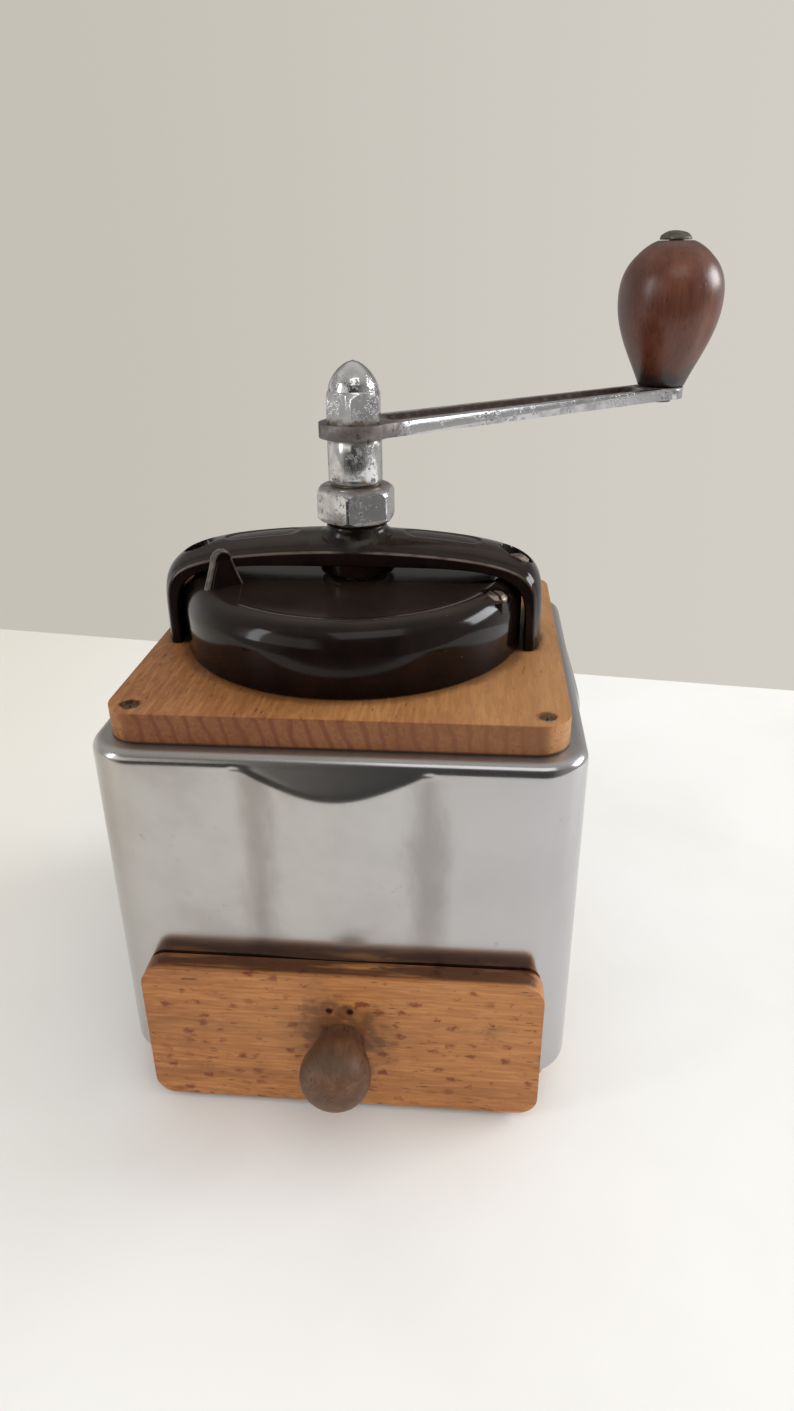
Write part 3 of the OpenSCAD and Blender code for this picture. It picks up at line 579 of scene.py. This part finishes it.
def lathe(profile, n, centre=(0, 0), a0=0.0):
    """Closed profile of (r, z) in mm, revolved round z."""
    P = len(profile)
    v, f = [], []
    for k in range(n):
        a = a0 + 2 * math.pi * k / n
        for r, z in profile:
            v.append((centre[0] + r * math.cos(a), centre[1] + r * math.sin(a), z))
    for k in range(n):
        for j in range(P):
            a, b = k * P + j, k * P + (j + 1) % P
            c, d = ((k + 1) % n) * P + (j + 1) % P, ((k + 1) % n) * P + j
            f.append((a, b, c, d))
    return v, f


def block(x0, x1, y0, y1, z0, z1):
    v = [(x, y, z) for x in (x0, x1) for y in (y0, y1) for z in (z0, z1)]
    f = [(0, 1, 3, 2), (4, 6, 7, 5), (0, 4, 5, 1), (2, 3, 7, 6), (0, 2, 6, 4), (1, 5, 7, 3)]
    return v, f


def smoothstep(x, a, b):
    t = np.clip((x - a) / (b - a), 0, 1)
    return t * t * (3 - 2 * t)


# ---------------------------------------------------------------- metal body
HALF, RC, RIM = 62.5, 12.0, 3.0


def swell(x, z):
    """Outward swelling of a wall at lateral place x and height z, mm."""
    prof = np.cos(np.clip(np.abs(x) / 25.5, 0, 1) * math.pi / 2) ** 1.5
    valley = -0.06 * np.exp(-((np.abs(x) - 22.6) / 2.4) ** 2)
    amp = 3.0 * np.clip((z - 40.0) / (ZT - 5 - 40.0), 0, 1) ** 0.9
    d = amp * (prof + valley)
    ramp = 0.40 * (ZT - 2.6 - z)
    k = 0.8                                   # soft minimum for a pressed crease
    h = np.clip(0.5 + 0.5 * (ramp - d) / k, 0, 1)
    out = ramp * (1 - h) + d * h - k * h * (1 - h)
    out = np.where(z > ZT - 2.6, 0.0, out)
    return np.where(prof > 0.001, np.maximum(out, -0.3), np.minimum(out, 0) * (z < ZT - 4))


def rounded_loop(half, rc, side, ncorner):
    """Points and outward normals round a rounded square; side holds the places along a straight, in -1..1."""
    pts, nrm, lat = [], [], []
    st = half - rc
    for k in range(4):
        a = -math.pi / 2 + k * math.pi / 2            # outward direction of this side
        o = np.array([math.cos(a), math.sin(a)])
        t = np.array([-math.sin(a), math.cos(a)])
        for s in side:
            pts.append(o * half + t * s * st)
            nrm.append(o)
            lat.append(s * st)
        for j in range(1, ncorner):
            b = a + (math.pi / 2) * j / ncorner
            c = o * st + t * st
            q = np.array([math.cos(b), math.sin(b)])
            pts.append(c + q * rc)
            nrm.append(q)
            lat.append(99.0)
    return np.array(pts), np.array(nrm), np.array(lat)


def body_mesh():
    st = HALF - RC
    xs = sorted(set([round(x, 3) for x in np.arange(-27, 27.01, 0.75)] + [-47, 47, -50.5, 50.5, -44, 44, -38, 38, -33, 33, -30, 30]))
    side = [x / st for x in xs]
    nc = 16
    zs = []
    nr = 8
    for k in range(nr + 1):                              # bottom rim
        a = math.pi / 2 * k / nr
        zs.append((RIM * (1 - math.sin(a)), BT + RIM * (1 - math.cos(a))))
    zmid = [BT + 4, 14, 18, 22, 26, 30, 34, 38, 41, 43.5] + list(np.arange(46, ZT - 15, 3.0)) + list(np.arange(ZT - 14, ZT - 2.9, 0.6))
    zs += [(0.0, z) for z in zmid]
    for k in range(1, nr + 1):                           # top rim
        a = math.pi / 2 * k / nr
        zs.append((RIM * (1 - math.cos(a)), ZT - RIM + RIM * math.sin(a)))
    rows = []
    inner = rounded_loop(47.0, 3.0, side, nc)[0]
    p, _, _ = rounded_loop(HALF - RIM, RC - RIM, side, nc)
    rows.append((inner, BT))
    rows.append(((inner + p) / 2, BT))
    for off, z in zs:
        p, n, lat = rounded_loop(HALF - off, RC - off, side, nc)
        d = np.where(np.abs(lat) < 40, swell(lat, z), 0.0)
        rows.append((p + n * d[:, None], z))
    p = rounded_loop(HALF - RIM, RC - RIM, side, nc)[0]
    rows.append(((inner + p) / 2, ZT))
    rows.append((inner, ZT))
    L = len(inner)
    v = [(q[0], q[1], z) for pts, z in rows for q in pts]
    f = []
    nside = len(side)
    for r in range(len(rows) - 1):
        for k in range(L):
            k2 = (k + 1) % L
            zc = (rows[r][1] + rows[r + 1][1]) / 2
            if k < nside - 1 and zc < 43.4 and -46.9 < (xs[k] + xs[k + 1]) / 2 < 46.9:
                continue                                 # drawer opening
            f.append((r * L + k, r * L + k2, (r + 1) * L + k2, (r + 1) * L + k))
    return v, f


v, f = body_mesh()
body = make("body_metalwork", v, f, "body_metal", "mill", ["body_shell"], recalc=False)
sol = body.modifiers.new("sheet", "SOLIDIFY")
sol.thickness = 0.9 * S
sol.offset = -1.0
sol.use_even_offset = True
apply_mods(body)


# ---------------------------------------------------------------- hopper and lid
HR = 48.4
HC = (-1.5, 1.8)                            # hopper centre
PIVOT = (39.0, -16.2)
SEAM = -8.3


def dome(n, r, dr, z, dz):
    return [(r - dr + dr * math.cos(math.pi / 2 * i / n), z - dz + dz * math.sin(math.pi / 2 * i / n)) for i in range(n + 1)]


def hop_profile(z0, z1, r, roof, wall, foot=0.0):
    outer = [(r - wall, z0), (r - 0.5, z0), (r - 0.12, z0 + 0.15), (r, z0 + 0.6)] + dome(20, r, 6.2, z1, 8.2)
    q = r - 7.3
    step = [(q + 0.6, z1 - 0.05), (q + 0.25, z1 - 0.22), (q, z1 - 0.45), (q - 0.4, z1 - 0.6), (q - 2, z1 - 0.62), (26, z1 - 0.6), (0.4, z1 - 0.6), (0.4, z1 - roof)]
    inner = list(reversed(dome(10, r - wall, 5.2, z1 - roof, 6)))
    return outer[:-1] + step + inner


SEG = 256
v, f = lathe(hop_profile(ZW + 0.4, ZR, HR, 3.0, 2.7), SEG, HC)
lid = raw("lid_dome", v, f)
boss_v, boss_f = lathe([(0.0, ZW + 0.4), (5.0, ZW + 0.4), (5.0, ZR - 2.0), (0.0, ZR - 2.0)], 48, PIVOT)
boss = raw("tmp_boss", boss_v, boss_f)
b2v, b2f = lathe([(0.0, ZW - 1), (HR - 0.4, ZW - 1), (HR - 0.4, ZR + 5), (0.0, ZR + 5)], 128, HC)
boolean(boss, raw("tmp_c", b2v, b2f), "INTERSECT")
boolean(lid, boss, "UNION")
v, f = block(-60, 60, SEAM - 60, SEAM, ZW, ZW + 40)
boolean(lid, raw("tmp_c", v, f), "INTERSECT")
v, f = lathe([(0.0, ZW - 2), (2.05, ZW - 2), (2.05, ZR - 3.0), (3.55, ZR - 3.0), (3.8, ZR - 2.7), (3.95, ZR + 5), (0.0, ZR + 5)], 64, PIVOT)
boolean(lid, raw("tmp_c", v, f))


def finish_piece(o, name, mat, body, stands_for=(), angle=32.0, width=0.0, segs=2):
    o.name = name
    o.data.name = name
    o.data.materials.clear()
    o.data.materials.append(MATS[mat])
    for p in o.data.polygons:
        p.use_smooth = True
        p.material_index = 0
    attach(o, body)
    if stands_for:
        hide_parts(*stands_for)
    if width:
        soften(o, width, segs, angle)
    else:
        o.data.set_sharp_from_angle(angle=math.radians(angle))
    return o


finish_piece(lid, "lid_cover", "bakelite", "lid", ["lid"])


def tab_mesh():
    """Finger tab: an upright rounded plate with a raised rim."""
    out = []
    w0, h, rt = 6.4, 8.2, 3.1
    n = 18
    left = [(-w0, -1.0), (-w0 + 0.1, 0.0)]
    for k in range(1, 7):
        t = k / 7
        left.append((-w0 + (w0 - rt) * t ** 0.85, h * t))
    arc = [(-rt * math.cos(math.pi * k / n), h + rt * math.sin(math.pi * k / n)) for k in range(n + 1)]
    right = [(-x, z) for x, z in reversed(left)]
    ring = left + arc + right
    ring = np.array(ring)
    c = np.array([0.0, 3.0])
    loops = []
    T = 1.1
    prof = [(0.62, -T + 0.45), (0.72, -T + 0.42), (0.80, -T + 0.1), (0.84, -T), (0.90, -T), (0.955, -T + 0.15), (0.99, -T + 0.5), (1.0, 0.0),
            (0.99, T - 0.5), (0.955, T - 0.15), (0.90, T), (0.84, T), (0.80, T - 0.1), (0.72, T - 0.42), (0.62, T - 0.45)]
    for s, y in prof:
        loops.append([(c[0] + (p[0] - c[0]) * s, y, c[1] + (p[1] - c[1]) * s if p[1] > c[1] else p[1]) for p in ring])
    L = len(ring)
    v = [q for lp in loops for q in lp]
    f = [(r * L + k, r * L + (k + 1) % L, (r + 1) * L + (k + 1) % L, (r + 1) * L + k) for r in range(len(loops) - 1) for k in range(L)]
    f.append(tuple(range(L)))
    f.append(tuple(reversed(range((len(loops) - 1) * L, len(loops) * L))))
    ca = math.radians(46.7)
    w = []
    for x, y, z in v:
        w.append((-35.3 + x * math.cos(ca) - y * math.sin(ca), -15.6 + x * math.sin(ca) + y * math.cos(ca), ZR - 1.2 + z))
    return w, f


v, f = tab_mesh()
tab = make("lid_tab", v, f, "bakelite_tab", "lid")
tab.data.set_sharp_from_angle(angle=math.radians(50))

# fixed rear roof and wall, over the bowl of the CAD hopper
v, f = lathe(hop_profile(ZW, ZR, HR, 3.0, 3.8), SEG, HC)
rear = raw("rear", v, f)
v, f = block(-60, 60, SEAM + 0.4, 60, ZW - 1, ZW + 40)
boolean(rear, raw("tmp_c", v, f), "INTERSECT")
v, f = lathe([(0.0, ZW - 2), (10.9, ZW - 2), (10.9, ZR + 5), (0.0, ZR + 5)], 96, PIVOT)
boolean(rear, raw("tmp_c", v, f))
v, f = lathe([(0.0, ZW + 12), (6.0, ZW + 12), (6.0, ZR + 5), (0.0, ZR + 5)], 64)
boolean(rear, raw("tmp_c", v, f))
bv, bf = lathe([(HR - 3.5, ZW), (HR - 3.5, ZW + 13.5), (HR - 5.7, ZW + 13.5), (20.6, ZW + 2.6), (15.0, ZW + 2.5), (15.0, ZW)], SEG, HC)
bowl = raw("bowl", bv, bf)
v, f = lathe([(0.0, ZW - 2), (20.0, ZW - 2), (20.0, ZW + 30), (0.0, ZW + 30)], 96)
boolean(bowl, raw("tmp_c", v, f))
v, f = lathe([(0.0, ZW - 2), (10.9, ZW - 2), (10.9, ZW + 30), (0.0, ZW + 30)], 96, PIVOT)
boolean(bowl, raw("tmp_c", v, f))
for sx in (-1, 1):
    for sy in (-1, 1):
        v, f = lathe([(0.0, ZW - 1), (2.1, ZW - 1), (2.1, ZW + 3), (4.1, ZW + 3), (4.1, ZW + 12), (0.0, ZW + 12)], 32, (sx * 19.1, sy * 19.1))
        boolean(bowl, raw("tmp_c", v, f))
boolean(rear, bowl, "UNION")
for sx in (44.8, -45.5):
    v, f = lathe([(0.0, ZW - 1), (1.6, ZW - 1), (1.6, ZW + 24), (0.0, ZW + 24)], 32, (sx, 0.0))
    boolean(rear, raw("tmp_c", v, f))
finish_piece(rear, "hopper_shell", "bakelite", "mill", ["hopper"])


# ---------------------------------------------------------------- bridge
def sp(v, p):
    return math.copysign(abs(v) ** p, v)


BC = -1.5                                   # the bridge's centre
BA, BB = HR + 5.6, 31.4
EA, EB = BA - 2.5, 27.6
SCREW_X = (44.8, -45.5)
SEAT = 21.9                                 # seat of the screw heads above the board


def arch(a, w, h, k):
    t = sp(math.cos(a), 0.8)
    return np.array([w * t, (h - k * t * t) * max(0.0, 1 - abs(t) ** 8) ** 0.143])


def arch_i(a):
    return np.array([(HR + 0.6) * sp(math.cos(a), 0.42), 23.6 * abs(math.sin(a)) ** 0.36])


def arc_params(n):
    """Angles spaced evenly along the outer arch."""
    t = np.linspace(-1, 1, 2001)
    A = math.pi / 2 - np.sign(t) * (math.pi / 2 - 1e-7) * (1 - (1 - np.abs(t)) ** 2.2)
    A = A[::-1]
    P = np.array([arch(a, BA, BB, 6) for a in A])
    s = np.concatenate([[0], np.cumsum(np.linalg.norm(np.diff(P, axis=0), axis=1))])
    return np.interp(np.linspace(0, s[-1], n + 1), s, A)


def bridge_mesh():
    n = 340
    A = arc_params(n)
    W = 11.0
    edge = [0.0, 0.006, 0.016, 0.03, 0.046]
    us = np.array([-1 + e for e in edge] + list(np.linspace(-0.94, 0.94, 45)) + [1 - e for e in reversed(edge)])
    rows = []
    for a in A:
        o, g, i = arch(a, BA, BB, 6), arch(a, EA, EB, 4.5), arch_i(a)
        d = (i - o) / np.linalg.norm(i - o)
        row = []
        for u in us:
            y0 = u * W
            p = o + (g - o) * abs(u) ** 2.6
            # a low rounded bead along each edge
            w = max(0.0, (abs(u) - 0.95) / 0.05)
            p = p + d * (0.55 * (1 - math.sqrt(max(0.0, 1 - w * w))))
            p = p + d * (0.16 * math.exp(-((abs(u) - 0.86) / 0.03) ** 2))
            # plain recessed panels either side of the boss
            px = abs(p[0]) - 25.5
            q = math.hypot(max(abs(px) - 7, 0), y0)
            rim = math.exp(-((q - 4.3) / 0.55) ** 2) * 0.10
            p = p + d * (0.42 * (1 - smoothstep(q, 3.15, 3.9)) - rim)
            x = p[0] + BC
            # counterbores for the screws
            for sx in SCREW_X:
                rr = math.hypot(x - sx, y0)
                if rr < 4.7 and p[1] > SEAT:
                    p = np.array([p[0], p[1] + (SEAT - p[1]) * (1 - smoothstep(rr, 4.05, 4.55))])
            row.append((x, y0, ZW + p[1]))
        rows.append(row)
    # underside, slightly rounded at its edges
    v, f = [], []
    inner_u = [1.0, 0.97, 0.9, 0.6, 0.2, -0.2, -0.6, -0.9, -0.97, -1.0]
    inner_d = [0.55, 0.12, 0.0, 0.0, 0.0, 0.0, 0.0, 0.0, 0.12, 0.55]
    w = len(us) + len(inner_u)
    for a, row in zip(A, rows):
        o, i = arch(a, BA, BB, 6), arch_i(a)
        d = (i - o) / np.linalg.norm(i - o)
        v += row
        for u, dd in zip(inner_u, inner_d):
            p = i - d * dd
            v.append((BC + p[0], u * W, ZW + p[1]))
    for j in range(n):
        for k in range(w):
            f.append((j * w + k, j * w + (k + 1) % w, (j + 1) * w + (k + 1) % w, (j + 1) * w + k))
    f.append(tuple(range(w)))
    f.append(tuple(reversed(range(n * w, (n + 1) * w))))
    return v, f


v, f = bridge_mesh()
bridge = raw("bridge_arch", v, f)
v, f = lathe([(0.0, ZW + 15), (6.55, ZW + 15), (6.55, ZW + 45), (0.0, ZW + 45)], 96)
boolean(bridge, raw("tmp_c", v, f))
finish_piece(bridge, "bridge_arch", "bakelite_bridge", "mill", ["bridge"], angle=38.0)


def arch_top(x, y):
    """Height of the bridge's outer surface above a place near its middle."""
    t = (x - BC) / BA
    zo = (BB - 6 * t * t) * (1 - abs(t) ** 8) ** 0.143
    t = (x - BC) / EA
    zg = (EB - 4.5 * t * t) * (1 - abs(t) ** 8) ** 0.143
    return ZW + zo + (zg - zo) * abs(y / 11) ** 2.6


def boss_mesh():
    n = 144
    zb = float(ZW + 33.5)
    v, f = [], []
    prof_n = 12
    P = 0
    for k in range(n):
        a = 2 * math.pi * k / n
        ca, sa = math.cos(a), math.sin(a)
        col = [(6.6, arch_top(0, 0) - 6), (6.6, zb - 0.4), (6.9, zb), (7.9, zb), (8.25, zb - 0.12), (8.4, zb - 0.4)]
        R1 = 8.4
        fl = 2.6
        for j in range(prof_n + 1):
            t = math.pi / 2 * j / prof_n
            r = R1 + fl * (1 - math.cos(t)) if True else 0
            r = min(r, 10.9 / max(abs(sa), 1e-6))
            zs = arch_top(r * ca, r * sa)
            top = min(zb - 0.5, zs + fl * 0.9)
            z = zs - 0.06 + (top - zs) * (1 - math.sin(t))
            col.append((r, z))
        col.append((col[-1][0] - 0.2, col[-1][1] - 1.2))
        P = len(col)
        v += [(r * ca, r * sa, z) for r, z in col]
    for k in range(n):
        for j in range(P):
            f.append((k * P + j, k * P + (j + 1) % P, ((k + 1) % n) * P + (j + 1) % P, ((k + 1) % n) * P + j))
    return v, f


v, f = boss_mesh()
bs = make("bridge_boss", v, f, "bakelite_bridge", "mill")
bs.data.set_sharp_from_angle(angle=math.radians(50))
v, f = lathe([(8.15, ZW + 20.4), (8.35, ZW + 20.2), (10.1, ZW + 20.2), (10.45, ZW + 20.35), (10.6, ZW + 20.7), (10.6, ZW + 25.2), (8.15, ZW + 25.2)], 128)
hub = make("bridge_hub", v, f, "bakelite_bridge", "mill")
hub.data.set_sharp_from_angle(angle=math.radians(50))


# ---------------------------------------------------------------- grip and knob
GR, GH, GZ = 16.5, 43.3, ZTOP + 0.3


def pear(z):
    if z < 0.62 * GH:
        return 7.5 + (GR - 7.5) * math.sin(math.radians(90 * z / (0.62 * GH))) ** 1.15
    return GR * math.sqrt(max(0.0, 1 - ((z - 0.62 * GH) / (0.381 * GH)) ** 2.3))


def grip_mesh():
    n = 128
    prof = [(2.35, 0.0), (7.0, 0.0), (7.4, 0.12)]
    zs = list(np.linspace(0.4, GH * 0.9, 60)) + list(GH * (0.9 + 0.0985 * np.sin(np.linspace(0.05, math.pi / 2, 16))))
    for z in zs:
        r = pear(z)
        if r > 5.2:                          # the top reaches up to the rivet
            prof.append((r, z if z <= 0.9 * GH else 0.9 * GH + (z - 0.9 * GH) * 1.19))
    prof += [(5.1, prof[-1][1] + 0.02), (4.95, prof[-1][1] - 0.35), (2.35, prof[-1][1] - 0.35)]
    cx, cy = CRANK_R * math.cos(CRANK_A), CRANK_R * math.sin(CRANK_A)
    v, f = lathe([(r, z + GZ) for r, z in prof], n, (cx, cy))
    # hand-turned: very slightly uneven
    out = []
    for x, y, z in v:
        a = math.atan2(y - cy, x - cx)
        k = 1 + 0.004 * math.sin(2 * a + 0.08 * z) + 0.003 * math.sin(3 * a - 0.11 * z)
        r = math.hypot(x - cx, y - cy)
        if r > 7.2:
            out.append((cx + (x - cx) * k, cy + (y - cy) * k, z))
        else:
            out.append((x, y, z))
    return out, f


v, f = grip_mesh()
grip = make("grip_wood", v, f, "wood_grip", "grip", ["grip"])
grip.data.set_sharp_from_angle(angle=math.radians(40))


# domed rivet head over the pin's end
zh = ZTOP + GH + 0.4
prof = [(0.0, zh), (4.9, zh)] + [(4.95 * math.cos(math.pi / 2 * k / 12), zh + 0.25 + 2.4 * math.sin(math.pi / 2 * k / 12)) for k in range(12)] + [(0.0, zh + 2.65)]
v, f = lathe(prof, 64, (CRANK_R * math.cos(CRANK_A), CRANK_R * math.sin(CRANK_A)))
out = []
for x, y, z in v:
    w = (z - zh) / 2.65
    out.append((x - 0.5 * w + 0.12 * math.sin(x * 1.9), y + 0.12 * math.sin(y * 2.3), z))
rivet = make("rivet_head", out, f, "rivet", "crank")
rivet.data.set_sharp_from_angle(angle=math.radians(60))


def knob_mesh():
    kb = box_mm("drawer_knob")
    y1 = kb[1][1]
    cx, cz = (kb[0][0] + kb[1][0]) / 2, (kb[0][2] + kb[1][2]) / 2
    prof = [(1.75, 9.0), (1.75, 0.0), (6.0, 0.0), (6.25, 0.1)]
    for i in range(1, 60):
        y = 20 * i / 60
        if y < 11.7:
            r = 6.3 + 3 * math.sin(math.radians(90 * y / 11.7)) ** 2
        else:
            r = 9.3 * math.sqrt(max(0, 1 - abs((y - 11.7) / 8.3) ** 2.2))
        prof.append((r, y))
    prof += [(2.6, 19.7), (1.4, 19.92), (0.0, 20.0), (0.0, 9.0)]
    v, f = lathe(prof, 96)
    return [(cx + x, y1 - z, cz + y) for x, y, z in v], f


v, f = knob_mesh()
knob = make("knob_wood", v, f, "wood_knob", "drawer", ["drawer_knob"])
knob.data.set_sharp_from_angle(angle=math.radians(50))

# ---------------------------------------------------------------- softened CAD nodes
for name, w, segs in (("top_board", 0.9, 3), ("base_board", 0.9, 3), ("drawer_front", 1.2, 4), ("crank_arm", 0.45, 2), ("adjusting_nut", 0.5, 3),
                      ("acorn_nut", 0.35, 2), ("sleeve", 0.4, 2), ("lid_screw", 0.2, 2), ("bridge_screws", 0.2, 2), ("board_screws", 0.15, 2),
                      ("grip_pin", 0.7, 4), ("thrust_washer", 0.1, 1), ("bearing_bush", 0.3, 2), ("drawer_side_left", 0.5, 2),
                      ("drawer_side_right", 0.5, 2), ("drawer_back", 0.5, 2), ("drawer_bottom", 0.4, 2)):
    soften(nodes[name], w, segs)

# ---------------------------------------------------------------- stage
m = Mat("table")
tn = m.noise(m.co, 9.0, 4.0, 0.55)
fine = m.noise(m.co, 700.0, 3.0)
tcol = m.mix(m.smooth(tn, 0.35, 0.7), lin(240, 239, 237), lin(234, 233, 230))
# painted shade: the table darkens toward the left, away from the window light
tcol = m.mix(m.smooth(m.xyz()[0], -0.02, -0.26, 0.0, 1.0), tcol, lin(227, 223, 213))
table_mat = m.bsdf(color=tcol, rough=0.55, normal=m.bump(fine, 0.03, 0.0003), spec=0.3)
e0, e1 = np.array([-275.0, 291.0]), np.array([211.0, 227.0])
dirn = (e1 - e0) / np.linalg.norm(e1 - e0)
L0, L1 = e0 - dirn * 2200, e1 + dirn * 2200
fv = [(L0[0], L0[1], 0), (L1[0], L1[1], 0), (L1[0], -300, 0), (L0[0], -300, 0),
      (L0[0], L0[1], -30), (L1[0], L1[1], -30), (L1[0], -300, -30), (L0[0], -300, -30)]
ff = [(3, 2, 1, 0), (4, 5, 6, 7), (0, 1, 5, 4), (1, 2, 6, 5), (2, 3, 7, 6), (3, 0, 4, 7)]
me = bpy.data.meshes.new("table")
me.from_pydata([(a * S, b * S, c * S) for a, b, c in fv], [], ff)
me.materials.append(table_mat)
table = bpy.data.objects.new("table", me)
bpy.context.scene.collection.objects.link(table)
bm = bmesh.new()
bm.from_mesh(me)
bmesh.ops.recalc_face_normals(bm, faces=bm.faces)
bm.to_mesh(me)
bm.free()
bev = table.modifiers.new("edge", "BEVEL")
bev.width = 0.004
bev.segments = 3

# ---------------------------------------------------------------- light
sc = bpy.context.scene
sc.view_settings.view_transform = "Standard"
sc.view_settings.look = "None"
sc.view_settings.exposure = 0.0
sc.view_settings.gamma = 1.0
world = bpy.data.worlds.new("studio")
sc.world = world
world.use_nodes = True
wt = world.node_tree
wt.nodes.clear()
wo = wt.nodes.new("ShaderNodeOutputWorld")
lp = wt.nodes.new("ShaderNodeLightPath")
tc = wt.nodes.new("ShaderNodeTexCoord")
sep = wt.nodes.new("ShaderNodeSeparateXYZ")
wt.links.new(tc.outputs["Generated"], sep.inputs[0])


def wmath(op, a, b=0.0, clamp=False):
    n = wt.nodes.new("ShaderNodeMath")
    n.operation = op
    n.use_clamp = clamp
    for sock, v in ((n.inputs[0], a), (n.inputs[1], b)):
        if isinstance(v, bpy.types.NodeSocket):
            wt.links.new(v, sock)
        else:
            sock.default_value = v
    return n.outputs[0]


def wrange(v, a, b, c, d):
    n = wt.nodes.new("ShaderNodeMapRange")
    n.interpolation_type = "SMOOTHSTEP"
    wt.links.new(v, n.inputs["Value"])
    for k, q in (("From Min", a), ("From Max", b), ("To Min", c), ("To Max", d)):
        n.inputs[k].default_value = q
    return n.outputs[0]


X, Y, Z = sep.outputs


def background(level, color):
    n = wt.nodes.new("ShaderNodeBackground")
    n.inputs["Color"].default_value = (*color, 1)
    if isinstance(level, bpy.types.NodeSocket):
        wt.links.new(level, n.inputs["Strength"])
    else:
        n.inputs["Strength"].default_value = level
    return n.outputs[0]


def blend(fac, a, b):
    n = wt.nodes.new("ShaderNodeMixShader")
    wt.links.new(fac, n.inputs[0])
    wt.links.new(a, n.inputs[1])
    wt.links.new(b, n.inputs[2])
    return n.outputs[0]


# soft light, stronger from the right
side = wrange(X, -1.0, 1.0, 0.60, 1.12)
studio = background(side, (1.0, 0.985, 0.955))
# what shiny surfaces see: pale wall behind, dim room in front, plain ceiling
back = wrange(Y, -0.25, 0.65, 0.0, 1.0)
low = wrange(Z, 0.04, 0.36, 1.0, 0.0)
room = wmath("ADD", 0.058, wmath("MULTIPLY", back, wmath("ADD", 0.15, wmath("MULTIPLY", low, 0.22))))
room = wmath("ADD", room, wrange(Z, 0.42, 0.9, 0.0, 0.42))
room = wmath("ADD", room, wrange(X, 0.35, 0.95, 0.0, 0.28))
room = wmath("ADD", room, wrange(X, -0.45, -0.9, 0.0, 0.40))
patch = wmath("MULTIPLY", wrange(X, -0.20, -0.38, 0.0, 1.0), wrange(Y, -0.15, -0.45, 0.0, 1.0))
patch = wmath("MULTIPLY", patch, wmath("MULTIPLY", wrange(Z, 0.0, 0.12, 0.0, 1.0), wrange(Z, 0.42, 0.62, 1.0, 0.0)))
room = wmath("ADD", room, wmath("MULTIPLY", patch, 0.80))
seen = background(room, (1.0, 0.97, 0.92))
# backdrop seen by the camera: painted light, brighter toward the right
wn = wt.nodes.new("ShaderNodeMix")
wn.data_type = "RGBA"
wt.links.new(wrange(X, -0.42, 0.32, 0.0, 1.0), wn.inputs[0])
wn.inputs[6].default_value = (*lin(198, 193, 183), 1)
wn.inputs[7].default_value = (*lin(210, 206, 197), 1)
wall = background(1.0, (1.0, 1.0, 1.0))
wt.links.new(wn.outputs[2], wall.node.inputs["Color"])
soft = blend(lp.outputs["Is Glossy Ray"], studio, seen)
wt.links.new(blend(lp.outputs["Is Camera Ray"], soft, wall), wo.inputs[0])


def area(name, loc, target, size, size_y, power, color=(1, 1, 1)):
    ld = bpy.data.lights.new(name, "AREA")
    ld.shape = "RECTANGLE"
    ld.size, ld.size_y = size, size_y
    ld.energy = power
    ld.color = color
    o = bpy.data.objects.new(name, ld)
    bpy.context.scene.collection.objects.link(o)
    d = Vector(target) - Vector(loc)
    o.location = loc
    o.rotation_mode = "QUATERNION"
    o.rotation_quaternion = d.to_track_quat("-Z", "Y")
    return o


def toward(az, el, dist, z=0.12):
    a, b = math.radians(az), math.radians(el)
    return (dist * math.cos(b) * math.cos(a), dist * math.cos(b) * math.sin(a), z + dist * math.sin(b))


area("window", toward(14, 21, 1.3), (0, 0, 0.12), 0.62, 0.42, 8.0, (0.96, 0.98, 1.0))
area("lamp", toward(-150, 19, 1.2), (0, 0, 0.12), 0.2, 0.7, 2.0, (0.93, 0.95, 1.0))
area("fill", toward(-72, 50, 1.6), (0, -0.12, 0.05), 1.1, 0.7, 2.4, (1.0, 0.99, 0.98))

# ---------------------------------------------------------------- camera
cam_data = bpy.data.cameras.new("camera")
cam_data.sensor_fit = "AUTO"
cam_data.sensor_width = 36.0
cam_data.lens = 926.703 / 1411 * 36.0
cam_data.clip_start = 0.01
cam_data.clip_end = 20.0
cam = bpy.data.objects.new("camera", cam_data)
bpy.context.scene.collection.objects.link(cam)
yaw, pitch, roll = -0.08761814, 0.45077651, -0.00916228
fwd = Vector((math.sin(yaw) * math.cos(pitch), math.cos(yaw) * math.cos(pitch), -math.sin(pitch)))
right = Vector((math.cos(yaw), -math.sin(yaw), 0))
up = right.cross(fwd)
r2 = right * math.cos(roll) + up * math.sin(roll)
u2 = -right * math.sin(roll) + up * math.cos(roll)
cam.matrix_world = Matrix(((r2.x, u2.x, -fwd.x, 0.03308401), (r2.y, u2.y, -fwd.y, -0.25379783), (r2.z, u2.z, -fwd.z, 0.21599673), (0, 0, 0, 1)))
bpy.context.scene.camera = cam
